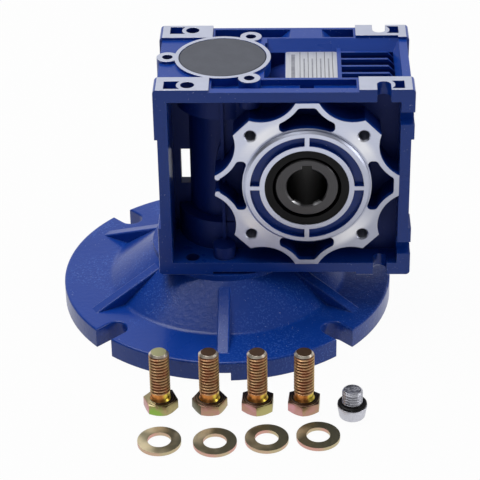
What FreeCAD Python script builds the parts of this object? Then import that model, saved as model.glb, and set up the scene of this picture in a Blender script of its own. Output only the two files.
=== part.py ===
"""Right-angle worm gear reducer with a motor bell, modelled as an assembly.

Frame: the origin lies on the worm axis, on the face of the bell that meets the motor.
The worm axis is Z, pointing up.  The output bore runs along Y, and its open front faces -Y.
"""
import FreeCAD, Part
import math
import os
import re

import Sketcher

Vector = FreeCAD.Vector
Placement = FreeCAD.Placement
Rotation = FreeCAD.Rotation

# Driving sizes in millimetres: name, value, meaning
SIZES = [
    ("centre_distance", 40, "worm axis to output axis"),
    ("worm_side", 31.5, "worm axis to the left face of the housing"),
    ("output_side", 50, "output axis to the right, top and bottom faces"),
    ("housing_depth", 71, "front frame face to rear frame face"),
    ("frame_wall", 6.5, "wall of the square frame"),
    ("frame_round", 2, "rounding of the long frame edges"),
    ("foot_length", 26, "length of a machined foot"),
    ("foot_depth", 13.8, "depth of a machined foot"),
    ("foot_rise", 1.4, "feet stand proud of the raw casting"),
    ("foot_hole", 6.5, "hole or slot in a foot"),
    ("foot_inset", 5.5, "foot hole to the front or rear face"),
    ("foot_hole_left", 15.5, "worm axis to the foot holes on its outer side"),
    ("foot_slot_right", 35.5, "output axis to the open foot slots"),
    ("side_foot_spacing", 70, "height between the side foot holes"),
    ("relief_edge", 5, "relief pocket in a foot to the edge of the frame"),
    ("relief_length", 8.2, "relief pocket along the frame"),
    ("relief_width", 7.8, "relief pocket across the foot"),
    ("relief_depth", 4, "relief pocket"),
    ("foot_hole_land", 5.2, "radius of metal kept round a foot hole"),
    ("web_half", 22, "half depth of the central casting"),
    ("ridge_wall", 2, "thin ridge on each side of the cooling pocket"),
    ("trough_depth", 3, "trough behind the front frame lip"),
    ("lip_wall", 4.5, "front frame lip"),
    ("rear_lip", 2, "rear frame lip, behind the open trough"),
    ("rear_ridge", 24.5, "middle plane to the rear face of the central casting, at its upper edge"),
    ("slope_foot", 18, "middle plane to the foot of the sloping rear wall of the cooling pocket"),
    ("slope_head", 23.5, "middle plane to the head of that slope"),
    ("slope_root", 4, "thickness under the foot of a slope"),
    ("right_slope", 2.6, "foot of the slope at the right end of the cooling pocket"),
    ("hill_top", 7.5, "half width of the hill in the rear trough"),
    ("hill_foot", 14.8, "half width of its foot"),
    ("drum_wall", 7, "wall of the drum round the wheel"),
    ("wheel_gap", 2.5, "room round the wheel rim"),
    ("wheel_room_half", 16, "output plane to the front end of the wheel room"),
    ("pocket_wall", 5.4, "right wall beside the cooling pocket"),
    ("plate_left", 10, "output axis to the left edge of the label plate"),
    ("plate_right", 14.7, "output axis to the right edge of the label plate"),
    ("plate_thickness", 0.6, "label plate"),
    ("plate_half", 17.5, "half width of the label plate"),
    ("plate_round", 1.2, "corners of the label plate"),
    ("fin_thickness", 1.6, "cooling fin"),
    ("fin_height", 45, "output axis to the flat edges of the fins"),
    ("fin_pitch", 7.7, "spacing of the cooling fins"),
    ("fin_start", 16.5, "output axis to the first end of the fins"),
    ("fin_wall", 1.8, "low wall that ties the fins together beside the plate"),
    ("fin_flat_end", 39, "output axis to the end of their flat edge"),
    ("valley_left", 20, "output axis to the far edge of the valley beside the worm"),
    ("valley_wall", 2.5, "wall between the valley and the wheel room"),
    ("notch_width", 6.6, "notch across the trough in line with the output axis"),
    ("tube_wall", 2, "wall of the worm tube"),
    ("tube_rib", 1.6, "rib along the front and rear of the worm tube"),
    ("tube_rib_rise", 1.5, "that rib beyond the bearing bosses"),
    ("boss_wall", 2, "wall of the bearing bosses on the worm tube"),
    ("boss_length", 22, "bearing boss along the worm"),
    ("side_web", 3, "half thickness of the web left of the worm tube"),
    ("window_left", 21.5, "worm axis to the far edge of the web window"),
    ("window_width", 4.6, "web window"),
    ("window_height", 19, "web window"),
    ("window_drop", 7.5, "centre of the web window below the output axis"),
    ("lug_circle", 26.3, "radius of the circle of tapped lugs"),
    ("lug_radius", 5.2, "tapped lug"),
    ("lug_height", 14, "tapped lug"),
    ("tap_radius", 2.5, "core of a tapped hole"),
    ("tap_depth", 12, "tapped hole"),
    ("tap_break", 0.65, "countersunk mouth of a tapped hole in a star face"),
    ("hub_ring", 30, "radius of the centring ring"),
    ("hub_rise", 2.5, "centring ring above the star face"),
    ("hub_wall", 0.6, "metal outside the centring ring behind the star face"),
    ("ring_chamfer", 1, "broken edge of the centring ring"),
    ("star_rise", 1, "star face in front of the frame"),
    ("scoop_radius", 17.9, "scoops between the star tips"),
    ("scoop_depth", 5.5, "depth of the scoops below the tips"),
    ("star_bolt_circle", 75, "circle of tapped holes in the star face"),
    ("star_edge", 2.5, "metal outside a star window"),
    ("star_window_half", 13.05, "half width of a star window at its shoulders"),
    ("star_window_round", 2, "rounding of the window corners"),
    ("horn_gap", 5.9, "gap between the two horns of the open tip"),
    ("recess_out", 26.9, "annular recess, outer radius"),
    ("recess_in", 22.4, "annular recess, inner radius"),
    ("recess_depth", 2.5, "annular recess"),
    ("recess_rib", 2.2, "ribs across the annular recess"),
    ("output_bearing_radius", 27.5, "output bearing, outer radius"),
    ("output_bearing_width", 13, "output bearing"),
    ("output_bearing_inner", 18, "output plane to the bearing"),
    ("output_seal_radius", 20, "output seal, outer radius"),
    ("output_seal_width", 7, "output seal"),
    ("seal_sink", 0.5, "seals below the face they sit in"),
    ("output_shaft_radius", 15, "hollow output shaft"),
    ("output_shaft_sink", 0.6, "shaft ends below the centring ring"),
    ("output_bore", 19.05, "bore of the output shaft"),
    ("output_key", 4.76, "keyway width in the output bore"),
    ("output_key_height", 11.9, "output axis to the keyway floor"),
    ("bore_chamfer", 0.8, "lead-in of the output bore"),
    ("shaft_chamfer", 0.6, "broken outer edge of the output shaft"),
    ("shoulder_rise", 3, "shaft shoulder against a bearing"),
    ("rim_seat", 23, "seat of the bronze rim on the hub"),
    ("rim_half", 7.5, "half width of the bronze rim"),
    ("teeth", 30, "teeth of the wheel"),
    ("tooth_module", 2, "axial module of the worm"),
    ("backlash", 0.05, "side clearance of each tooth flank"),
    ("root_gap", 0.4, "clearance under the teeth"),
    ("worm_length", 30, "threaded length"),
    ("cover_thickness", 6.5, "side cover outside its seat"),
    ("cover_spigot", 13, "spigot of the side cover"),
    ("cover_screw_circle", 40, "radius of the circle of cover screws"),
    ("cover_screw", 2.4, "cover screw shank radius"),
    ("cover_screw_head", 4.4, "cover screw head radius"),
    ("cover_screw_length", 12, "cover screw"),
    ("cover_socket", 1.7, "socket radius of a cover screw"),
    ("cover_socket_depth", 1.6, "socket of a cover screw"),
    ("ring_cord", 0.9, "radius of the round seal cord"),
    ("groove_step", 5, "seal groove behind the cover seat"),
    ("worm_bearing_radius", 21, "worm bearings, outer radius"),
    ("top_bearing_width", 12, "upper worm bearing"),
    ("base_bearing_width", 9, "lower worm bearing"),
    ("balls", 9, "balls in each bearing"),
    ("cap_thickness", 5, "end cap over the upper worm bearing"),
    ("cap_break", 0.6, "broken edge of the end cap"),
    ("circlip_width", 1.75, "retaining ring"),
    ("circlip_bite", 1.2, "depth of the retaining ring groove"),
    ("circlip_band", 3, "band of the retaining ring inside its groove"),
    ("circlip_gap", 8, "gap between the ends of the retaining ring"),
    ("worm_room_gap", 3, "room round the worm thread"),
    ("tail_radius", 10, "worm journal in the upper bearing"),
    ("input_radius", 12.5, "hollow input end of the worm"),
    ("motor_bore", 15.875, "bore for the motor shaft"),
    ("motor_bore_depth", 28, "bore for the motor shaft"),
    ("motor_key", 4.76, "keyway width for the motor shaft"),
    ("motor_key_height", 9.9, "worm axis to the keyway floor"),
    ("input_seal_width", 7, "input seal"),
    ("seal_room", 1.2, "room between a shaft and the back of its seal"),
    ("bell_radius", 82.5, "motor bell, outer radius"),
    ("bell_rim", 10.2, "motor bell, rim thickness"),
    ("rim_round", 1, "rounded upper edge of the rim and of its slots"),
    ("bell_height", 30, "motor face to the housing"),
    ("cone_foot", 59.2, "cone radius on the rim"),
    ("cone_head", 37, "cone radius at the housing"),
    ("cone_neck", 3, "straight neck above the cone"),
    ("cone_round", 4, "hollow rounding where the cone meets the rim"),
    ("bell_wall", 5.5, "wall of the bell"),
    ("neck_wall", 3, "wall of the bell under its neck"),
    ("pilot_radius", 57.15, "register for the motor"),
    ("pilot_depth", 4.5, "register for the motor"),
    ("bell_plate", 6, "plate against the housing"),
    ("bell_bore", 17, "hole in that plate"),
    ("rib_width", 6, "bell rib"),
    ("rib_foot", 74.5, "radius at which a rib reaches the rim"),
    ("rib_head", 39.5, "radius of the upper end of the rib edge"),
    ("rib_drop", 4.8, "upper end of the rib edge below the housing"),
    ("rib_round", 0.8, "rounded upper edges of a rib"),
    ("motor_slot_circle", 74.6, "radius of the motor screw circle"),
    ("motor_slot", 11.1, "open motor slots"),
    ("drain_width", 7.8, "drain notch"),
    ("drain_height", 4.4, "drain notch"),
    ("bell_screw_circle", 28, "radius of the circle of bell screws"),
    ("bell_screw", 2.9, "bell screw shank radius"),
    ("bell_screw_head", 5, "bell screw head radius"),
    ("bell_screw_head_height", 6, "bell screw head"),
    ("bell_screw_length", 16, "bell screw shank"),
    ("bell_boss_wall", 2.5, "wall round a bell screw hole"),
    ("port_radius", 4.3, "filler port"),
    ("port_face", 8, "spot face round the port"),
    ("port_face_depth", 1, "spot face below the wall"),
    ("port_land", 4, "metal round the spot face"),
    ("plug_reach", 8, "filler plug below the spot face"),
    ("plug_head", 6.5, "filler plug head radius"),
    ("plug_head_height", 2.2, "filler plug head"),
    ("plug_socket", 2.8, "hexagon socket of the filler plug, to its corners"),
    ("plug_socket_depth", 5, "hexagon socket of the filler plug"),
    ("bolt_radius", 4.76, "motor bolt shank"),
    ("bolt_length", 25.4, "motor bolt under its head"),
    ("bolt_head", 14.3, "motor bolt head across the flats"),
    ("bolt_head_height", 5.9, "motor bolt head"),
    ("bolt_lead", 1.2, "chamfer at the tip of a motor bolt"),
    ("washer_radius", 9.95, "washer, outer radius"),
    ("washer_hole", 5.4, "washer, hole radius"),
    ("washer_thickness", 1.7, "washer"),
    ("bolt_row", 103.9, "loose bolts in front of the worm axis"),
    ("washer_row", 130, "loose washers in front of the worm axis"),
    ("vent_right", 60.5, "loose vent plug right of the worm axis"),
    ("vent_front", 109.6, "loose vent plug in front of the worm axis"),
    ("vent_head", 7, "vent plug head radius at its seal"),
    ("vent_head_end", 5.95, "vent plug head radius at its end"),
    ("vent_head_height", 5.1, "vent plug head"),
    ("vent_neck", 4.2, "radius of the neck that carries the seal ring"),
    ("vent_stem", 4.8, "vent plug thread radius"),
    ("vent_length", 6.6, "vent plug thread"),
    ("vent_hole", 3.4, "vent passage radius"),
    ("vent_passage", 4, "depth of the vent passage"),
    ("vent_cord", 1.3, "radius of the vent seal cord"),
    ("vent_break", 0.6, "broken edges of the vent plug"),
    ("fit", 0.03, "radial clearance of a running or locating fit"),
    ("slack", 0.3, "clearance round a screw"),
]
NAMES = {name for name, value, meaning in SIZES}
COUNTS = {name: value for name, value, meaning in SIZES if name in ("teeth", "balls")}

doc = FreeCAD.newDocument("worm_gear_reducer")
sheet = doc.addObject("Spreadsheet::Sheet", "Sizes")
for line, (name, value, meaning) in enumerate(SIZES, start=1):
    sheet.set("A%d" % line, meaning)
    sheet.set("B%d" % line, str(value))
    sheet.setAlias("B%d" % line, name)
doc.recompute()

# Planes and axes that several pieces share, written as rules over the sheet
OUT_X = "centre_distance"
OUT_Z = "(bell_height + output_side)"
LEFT = "(-worm_side)"
RIGHT = "(centre_distance + output_side)"
BASE = "bell_height"
TOP = "(bell_height + 2 * output_side)"
HALF = "(housing_depth / 2)"
FOOT_HALF = "(housing_depth / 2 - foot_inset)"
STAR_HALF = "(output_side - frame_wall)"
SCOOP_CENTRE = "(output_side - frame_wall - scoop_depth + scoop_radius)"
INSIDE_RIDGES = "(web_half - ridge_wall)"
STAR_FACE = "(housing_depth / 2 + star_rise)"
RING_FACE = "(housing_depth / 2 + star_rise + hub_rise)"
COVER_SEAT = "(housing_depth / 2 + star_rise - cover_thickness)"
RIM_RADIUS = "(teeth * tooth_module / 2 + 1.3 * tooth_module)"
WHEEL_ROOM = "(teeth * tooth_module / 2 + 2 * tooth_module + wheel_gap)"
DRUM = "(teeth * tooth_module / 2 + 2 * tooth_module + wheel_gap + drum_wall)"
WORM_PITCH = "(centre_distance - teeth * tooth_module / 2)"
WORM_TIP = "(centre_distance - teeth * tooth_module / 2 + tooth_module)"
WORM_ROOT = "(centre_distance - teeth * tooth_module / 2 - tooth_module - root_gap)"
WORM_ROOM = "(centre_distance - teeth * tooth_module / 2 + tooth_module + worm_room_gap)"
TUBE = "(centre_distance - teeth * tooth_module / 2 + tooth_module + worm_room_gap + tube_wall)"
BOSS = "(worm_bearing_radius + boss_wall)"
BEARING_OUT = "(output_bearing_inner + output_bearing_width)"
TOP_BEARING = TOP + " - cap_thickness - circlip_width - top_bearing_width"
BASE_BEARING = "(bell_height + seal_sink + input_seal_width)"
AXIAL_PITCH = "(pi * tooth_module)"

ALONG_X = Rotation(Vector(0, 1, 0), 90)
TO_REAR = Rotation(Vector(1, 0, 0), -90)
TO_FRONT = Rotation(Vector(1, 0, 0), 90)
QUARTERS = (0, 90, 180, 270)


def rule(text):
    """Write every size name in the text as a cell of the sheet."""
    return re.sub(r"[a-z][a-z_]+",
                  lambda word: "Sizes." + word.group(0) if word.group(0) in NAMES else word.group(0),
                  str(text))


def measure(text):
    """The value of a rule as the sheet stands."""
    return float(sheet.evalExpression(rule(text)))


def bind(thing, **rules):
    """Tie properties of a feature to rules."""
    for prop, text in rules.items():
        thing.setExpression(prop, rule(text))
    return thing


def at(thing, x=0, y=0, z=0, turn=None):
    """Place a feature by rules, after an optional turn."""
    if turn is not None:
        thing.Placement = Placement(Vector(), turn)
    for axis, text in zip("xyz", (x, y, z)):
        thing.setExpression("Placement.Base." + axis, rule(text))
    return thing


def block(name, x, y, z):
    """A box between pairs of rules."""
    box = doc.addObject("Part::Box", name)
    sizes = ["(%s) - (%s)" % (high, low) for low, high in (x, y, z)]
    bind(box, Length=sizes[0], Width=sizes[1], Height=sizes[2])
    return at(box, x[0], y[0], z[0])


def rod(name, radius, x, y, z):
    """A cylinder along the one axis that is given as a pair of rules."""
    cylinder = doc.addObject("Part::Cylinder", name)
    ends = [(place, turn) for place, turn in zip((x, y, z), (ALONG_X, TO_REAR, Rotation()))
            if isinstance(place, tuple)]
    (low, high), turn = ends[0]
    bind(cylinder, Radius=radius, Height="(%s) - (%s)" % (high, low))
    start = [place[0] if isinstance(place, tuple) else place for place in (x, y, z)]
    return at(cylinder, *start, turn=turn)


def around(radius, degrees):
    """Two rules for a point on a circle."""
    return "(%s) * cos(%s)" % (radius, degrees), "(%s) * sin(%s)" % (radius, degrees)


def group(kind, name, things):
    """Join things in a feature that holds a list."""
    joined = doc.addObject(kind, name)
    setattr(joined, "Links" if kind == "Part::Compound" else "Shapes", list(things))
    return joined


def fuse(name, *things):
    """One solid from several that overlap."""
    return group("Part::MultiFuse", name, things)


def cut(name, base, *tools):
    """The base without the tools."""
    result = doc.addObject("Part::Cut", name)
    result.Base = base
    result.Tool = tools[0] if len(tools) == 1 else fuse(name + "_tools", *tools)
    return result


def common(name, first, second):
    """What two things share."""
    result = doc.addObject("Part::Common", name)
    result.Base = first
    result.Tool = second
    return result


def plane(body, role):
    """One of the origin planes or axes of a body."""
    return next(item for item in body.Origin.OriginFeatures if item.Role == role)


def draw(sketch, points):
    """Draw a closed outline and tie each corner to its two rules."""
    corners = [Vector(measure(x), measure(y), 0) for x, y in points]
    count = len(corners)
    for index in range(count):
        sketch.addGeometry(Part.LineSegment(corners[index], corners[(index + 1) % count]), False)
    for index in range(count):
        sketch.addConstraint(Sketcher.Constraint("Coincident", index, 2, (index + 1) % count, 1))
    for index, corner in enumerate(points):
        for kind, text, zero_axis in (("DistanceX", corner[0], -2), ("DistanceY", corner[1], -1)):
            if str(text) == "0":
                sketch.addConstraint(Sketcher.Constraint("PointOnObject", index, 1, zero_axis))
                continue
            place = sketch.addConstraint(
                Sketcher.Constraint(kind, -1, 1, index, 1, measure(text)))
            sketch.setExpression("Constraints[%d]" % place, rule(text))
    return sketch


def draw_circle(sketch, radius, x, y="0"):
    """Draw a circle and tie its size and its centre to their rules."""
    centre = Vector(measure(x), measure(y), 0)
    sketch.addGeometry(Part.Circle(centre, Vector(0, 0, 1), measure(radius)), False)
    size = sketch.addConstraint(Sketcher.Constraint("Radius", 0, measure(radius)))
    sketch.setExpression("Constraints[%d]" % size, rule(radius))
    for kind, text, zero_axis in (("DistanceX", x, -2), ("DistanceY", y, -1)):
        if text == "0":
            sketch.addConstraint(Sketcher.Constraint("PointOnObject", 0, 3, zero_axis))
            continue
        place = sketch.addConstraint(Sketcher.Constraint(kind, -1, 1, 0, 3, measure(text)))
        sketch.setExpression("Constraints[%d]" % place, rule(text))
    return sketch


def sketch_on(body, name, role):
    """An empty sketch on an origin plane of its body."""
    sketch = body.newObject("Sketcher::SketchObject", name)
    sketch.AttachmentSupport = [(plane(body, role), "")]
    sketch.MapMode = "FlatFace"
    return sketch


def turned(name, outline, x=0, y=0, z=0, turn=None):
    """A body turned about its own Z axis from an outline of (radius, height)."""
    body = doc.addObject("PartDesign::Body", name)
    sketch = draw(sketch_on(body, name + "_outline", "XZ_Plane"), outline)
    spin = body.newObject("PartDesign::Revolution", name + "_turn")
    spin.Profile = sketch
    spin.ReferenceAxis = (sketch, ["V_Axis"])
    spin.Angle = 360
    return at(body, x, y, z, turn)


def pad(body, name, sketch, length, **rules):
    """A straight pad of a sketch."""
    feature = body.newObject("PartDesign::Pad", name)
    feature.Profile = sketch
    return bind(feature, Length=length, **rules)


def pocket(body, name, sketch):
    """A pocket right through the body."""
    feature = body.newObject("PartDesign::Pocket", name)
    feature.Profile = sketch
    feature.Type = "ThroughAll"
    feature.Midplane = True
    return feature


def repeat(body, name, feature, count, axis="Z_Axis"):
    """Copies of a feature round an axis of the body, which then ends in the pattern."""
    pattern = body.newObject("PartDesign::PolarPattern", name)
    pattern.Originals = [feature]
    pattern.Axis = (plane(body, axis), [""])
    pattern.Angle = 360
    pattern.Occurrences = count
    body.Tip = pattern
    return pattern


def ring(name, inner, outer, low, high, **place):
    """A plain turned ring."""
    return turned(name, [(inner, low), (outer, low), (outer, high), (inner, high)], **place)


def edges_of(feature, wanted):
    """Names of the edges for which a test on their middle point and direction holds."""
    doc.recompute()
    names = []
    for index, edge in enumerate(feature.Shape.Edges, start=1):
        middle = (edge.FirstParameter + edge.LastParameter) / 2
        if wanted(edge.valueAt(middle), edge.tangentAt(middle)):
            names.append("Edge%d" % index)
    return names


def rounded(body, name, feature, radius, wanted):
    """Round the chosen edges of a feature of the body."""
    fillet = body.newObject("PartDesign::Fillet", name)
    fillet.Base = (feature, edges_of(feature, wanted))
    return bind(fillet, Radius=radius)


OUTPUT = dict(x=OUT_X, y=0, z=OUT_Z)
FRONT = dict(OUTPUT, turn=TO_FRONT)
REAR = dict(OUTPUT, turn=TO_REAR)
UPRIGHT = dict(x=0, y=0, z=0)
SUB_PARTS = []


def sub_part(label, thing):
    """Name a finished piece."""
    thing.Label = label
    SUB_PARTS.append(thing)
    return thing


def star(name, low, high):
    """The eight-pointed face round the output bore, as a body along its own Z axis."""
    body = doc.addObject("PartDesign::Body", name)
    corner = STAR_HALF + " / cos(22.5)"
    corners = [around(corner, 22.5 + 45 * step) for step in range(8)]
    blank = pad(body, name + "_blank", draw(sketch_on(body, name + "_octagon", "XY_Plane"), corners),
                "(%s) - (%s)" % (high, low))
    blank.Profile[0].setExpression("AttachmentOffset.Base.z", rule(low))
    scoop = sketch_on(body, name + "_scoop", "XY_Plane")
    draw_circle(scoop, "scoop_radius", SCOOP_CENTRE)
    scoop.AttachmentOffset = Placement(Vector(), Rotation(Vector(0, 0, 1), 22.5))
    repeat(body, name + "_scoops", pocket(body, name + "_scoop_cut", scoop), 8)
    return body


def star_window(degrees):
    """The room of one star window: it runs beside the centring ring and the scoops, with round corners."""
    name = "star_window_%d" % degrees
    body = doc.addObject("PartDesign::Body", name)
    inner, outer = "hub_ring - star_window_half", STAR_HALF + " - star_edge"
    field = draw(sketch_on(body, name + "_field", "XY_Plane"), [
        (inner, "-star_window_half"), (outer, "-star_window_half"),
        (outer, "star_window_half"), (inner, "star_window_half")])
    pad(body, name + "_pad", field, STAR_FACE + " + 1")
    x, y = around(SCOOP_CENTRE, 22.5)
    for side, radius, centre in (("ring", "hub_ring + hub_wall", ("0", "0")),
                                 ("lower", "scoop_radius + star_edge", (x, "-(%s)" % y)),
                                 ("upper", "scoop_radius + star_edge", (x, y))):
        wall = sketch_on(body, "%s_%s_wall" % (name, side), "XY_Plane")
        beside = pocket(body, "%s_%s_cut" % (name, side), draw_circle(wall, radius, *centre))
    rounded(body, name + "_rounding", beside, "star_window_round", lambda point, way: abs(way.z) > 0.9)
    return at(body, turn=TO_FRONT.multiply(Rotation(Vector(0, 0, 1), degrees)), **OUTPUT)


def open_star():
    """The front star: four windows, and its left tip parted into two horns with round ends."""
    face = at(star("star", "web_half - 1", STAR_FACE), turn=TO_FRONT, **OUTPUT)
    horn = "(horn_gap + star_edge) / 2"
    tip = "%s - %s" % (OUT_X, STAR_HALF)
    deep = ("-%s" % STAR_FACE, "-web_half + 1")
    gap = block("horn_gap", (tip + " - 1", OUT_X + " - hub_ring - hub_wall"),
                (deep[0] + " - 1", deep[1] + " + 1"),
                ("%s - %s" % (OUT_Z, horn), "%s + %s" % (OUT_Z, horn)))
    parted = cut("parted_star", face, *([star_window(degrees) for degrees in QUARTERS] + [gap]))
    ends = [rod("horn_end_" + name, "star_edge / 2", tip + " + star_edge / 2", deep,
                "%s %s %s" % (OUT_Z, sign, horn)) for name, sign in (("low", "-"), ("high", "+"))]
    return [parted] + ends


def frame_recesses():
    """Everything on the four outer faces that lies below the machined feet."""
    tools = []
    inner_y = ("-(%s - foot_depth)" % HALF, "%s - foot_depth" % HALF)
    full_y = ("-" + HALF + " - 1", HALF + " + 1")
    x_feet = (LEFT + " + foot_length", RIGHT + " - foot_length")
    z_feet = (BASE + " + foot_length", TOP + " - foot_length")
    faces = {
        "left": ((LEFT + " - 1", LEFT + " + foot_rise"), None),
        "right": ((RIGHT + " - foot_rise", RIGHT + " + 1"), None),
        "base": (None, (BASE + " - 1", BASE + " + foot_rise")),
        "top": (None, (TOP + " - foot_rise", TOP + " + 1")),
    }
    for side, (x, z) in faces.items():
        along_x = x is None
        between = x_feet if along_x else z_feet
        whole = (LEFT + " - 1", RIGHT + " + 1") if along_x else (BASE + " - 1", TOP + " + 1")
        for kind, y, run in (("between", full_y, between), ("inside", inner_y, whole)):
            tools.append(block("recess_%s_%s" % (side, kind), y=y,
                               x=run if along_x else x, z=z if along_x else run))
    return tools


def level(side, height):
    """A height above the output axis on the top side, or as far below it on the base side."""
    return "%s %s (%s)" % (OUT_Z, "+" if side == "top" else "-", height)


def prism(name, role, outline, start, end):
    """A straight bar from an outline, along X on the YZ plane or centred along Y on the XZ plane."""
    body = doc.addObject("PartDesign::Body", name)
    bar = pad(body, name + "_pad", draw(sketch_on(body, name + "_outline", role), outline),
              "(%s) - (%s)" % (end, start))
    if role == "XZ_Plane":
        bar.Midplane = True
        return at(body, 0, "((%s) + (%s)) / 2" % (end, start), 0)
    return at(body, start, 0, 0)


def slope_room(side):
    """The room over the sloping rear wall of a cooling pocket."""
    beyond = level(side, "output_side + 1")
    return prism(side + "_slope_room", "YZ_Plane", [
        ("slope_foot", level(side, STAR_HALF)), ("slope_head", level(side, "output_side - foot_rise")),
        ("slope_head", beyond), ("slope_foot", beyond)], BOSS + " - 2", RIGHT + " - pocket_wall")


def slopes(side):
    """The sloping rear and right walls of a cooling pocket."""
    foot, head = level(side, STAR_HALF), level(side, "output_side - foot_rise")
    low = level(side, STAR_HALF + " - slope_root")
    right = RIGHT + " - pocket_wall"
    rear_wall = prism(side + "_rear_slope", "YZ_Plane", [
        ("slope_foot", low), ("slope_foot", foot), ("slope_head", head), ("rear_ridge", head),
        ("rear_ridge", low)], "lug_circle / 2", right + " + 0.5")
    right_wall = prism(side + "_right_slope", "XZ_Plane", [
        (right + " - right_slope", low), (right + " - right_slope", foot), (right + " + 0.5", head),
        (right + " + 0.5", low)], "-" + INSIDE_RIDGES, "slope_head")
    return [rear_wall, right_wall]


def rear_trough(side, x, z):
    """The rear trough, open to the inside of the frame except where a hill crosses it."""
    y = ("rear_ridge", HALF + " - rear_lip")
    head = level(side, "output_side - foot_rise")
    foot = level(side, STAR_HALF + " - 1")
    hill = prism(side + "_hill", "XZ_Plane", [
        (OUT_X + " - hill_foot", foot), (OUT_X + " - hill_top", head), (OUT_X + " + hill_top", head),
        (OUT_X + " + hill_foot", foot)], y[0] + " - 1", y[1] + " + 1")
    return cut("trough_%s_rear" % side, block("trough_%s_rear_field" % side, x, y, z), hill)


def trough_and_pocket_tools():
    """The troughs behind the frame lips, and the cooling pockets over and under the drum."""
    tools = []
    through = {"top": (TOP + " - frame_wall - 1", TOP + " + 1"),
               "base": (BASE + " - 1", BASE + " + frame_wall + 1")}
    shallow = {"top": (TOP + " - foot_rise - trough_depth", TOP + " + 1"),
               "base": (BASE + " - 1", BASE + " + foot_rise + trough_depth")}
    pocket_x = (BOSS + " - 2", RIGHT + " - pocket_wall")
    x = (LEFT + " + foot_length + 1", RIGHT + " - foot_length - 1")
    notch_x = (OUT_X + " - notch_width / 2", OUT_X + " + notch_width / 2")
    front_y = ("-(%s - lip_wall)" % HALF, "-web_half")
    for side, low, high in (("top", OUT_Z + " + wheel_room_half", TOP + " + 1"),
                            ("base", BASE + " - 1", OUT_Z + " - wheel_room_half")):
        tools.append(block(side + "_pocket", pocket_x, ("-" + INSIDE_RIDGES, INSIDE_RIDGES), (low, high)))
        tools.append(block("trough_%s_front" % side, x, front_y, shallow[side]))
        tools.append(block("notch_%s_front" % side, notch_x, front_y, through[side]))
        tools.append(rear_trough(side, x, through[side]))
        tools.append(slope_room(side))
    return tools


def foot_hole_tools():
    """Round holes by the worm, open slots on the output side, and their relief pockets."""
    tools = []
    radius = "foot_hole / 2"
    wall = "(frame_wall + 1)"
    top_bottom = {"top": (TOP + " - " + wall, TOP + " + 1"), "base": (BASE + " - 1", BASE + " + " + wall)}
    for side, z in top_bottom.items():
        shallow = (TOP + " - relief_depth", TOP + " + 1") if side == "top" else (
            BASE + " - 1", BASE + " + relief_depth")
        for end, sign in (("front", "-"), ("rear", "")):
            y = sign + FOOT_HALF
            mark = side + "_" + end
            out = ("-" + HALF + " - 1", y) if sign else (y, HALF + " + 1")
            slot_x = OUT_X + " + foot_slot_right"
            tools.append(rod("hole_" + mark, radius, "-foot_hole_left", y, z))
            tools.append(rod("slot_end_" + mark, radius, slot_x, y, z))
            tools.append(block("slot_" + mark, (slot_x + " - " + radius, slot_x + " + " + radius), out, z))
            pocket_y = (y + " - relief_width / 2", y + " + relief_width / 2")
            for hand, x, hole_x in (
                    ("left", (LEFT + " + relief_edge", LEFT + " + relief_edge + relief_length"),
                     "-foot_hole_left"),
                    ("right", (RIGHT + " - relief_edge - relief_length", RIGHT + " - relief_edge"),
                     slot_x)):
                hollow = block("relief_%s_%s" % (mark, hand), x, pocket_y, shallow)
                land = rod("relief_land_%s_%s" % (mark, hand), "foot_hole_land", hole_x, y, shallow)
                tools.append(cut("relief_cut_%s_%s" % (mark, hand), hollow, land))
    for level, offset in (("high", "+ side_foot_spacing / 2"), ("low", "- side_foot_spacing / 2")):
        z = OUT_Z + " " + offset
        for end, sign in (("front", "-"), ("rear", "")):
            y = sign + FOOT_HALF
            mark = level + "_" + end
            out = ("-" + HALF + " - 1", y) if sign else (y, HALF + " + 1")
            right_wall = (RIGHT + " - " + wall, RIGHT + " + 1")
            tools.append(rod("side_hole_" + mark, radius, (LEFT + " - 1", LEFT + " + " + wall), y, z))
            tools.append(rod("side_slot_end_" + mark, radius, right_wall, y, z))
            tools.append(block("side_slot_" + mark, right_wall, out,
                               (z + " - " + radius, z + " + " + radius)))
    return tools


def frame_blank():
    """The square frame: an extruded ring with rounded long edges."""
    body = doc.addObject("PartDesign::Body", "frame_blank")
    outline = [(LEFT, BASE), (RIGHT, BASE), (RIGHT, TOP), (LEFT, TOP)]
    sketch = draw(sketch_on(body, "frame_outline", "XZ_Plane"), outline)
    bar = pad(body, "frame_pad", sketch, "housing_depth")
    bar.Midplane = True
    rounded(body, "frame_rounding", bar, "frame_round", lambda point, way: abs(way.y) > 0.9)
    opening = [(LEFT + " + frame_wall", BASE + " + frame_wall"),
               (RIGHT + " - frame_wall", BASE + " + frame_wall"),
               (RIGHT + " - frame_wall", TOP + " - frame_wall"),
               (LEFT + " + frame_wall", TOP + " - frame_wall")]
    pocket(body, "frame_opening", draw(sketch_on(body, "frame_inside", "XZ_Plane"), opening))
    return body


def fin(index, side):
    """One cooling fin over or under the drum, with its outer corner cut at 45 degrees."""
    name = "%s_fin_%d" % (side, index)
    body = doc.addObject("PartDesign::Body", name)
    right = RIGHT + " - pocket_wall + 0.5"
    flat = "%s + fin_flat_end" % OUT_X
    left = OUT_X + " + fin_start"
    root = level(side, "wheel_room_half")
    edge = level(side, "fin_height")
    corner = level(side, "fin_height - (output_side - pocket_wall + 0.5 - fin_flat_end)")
    outline = [(left, root), (right, root), (right, corner), (flat, edge), (left, edge)]
    sketch = draw(sketch_on(body, name + "_outline", "XZ_Plane"), outline)
    pad(body, name + "_pad", sketch, "fin_thickness").Midplane = True
    return at(body, 0, "fin_pitch * (%d)" % (index - 2), 0)


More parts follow.
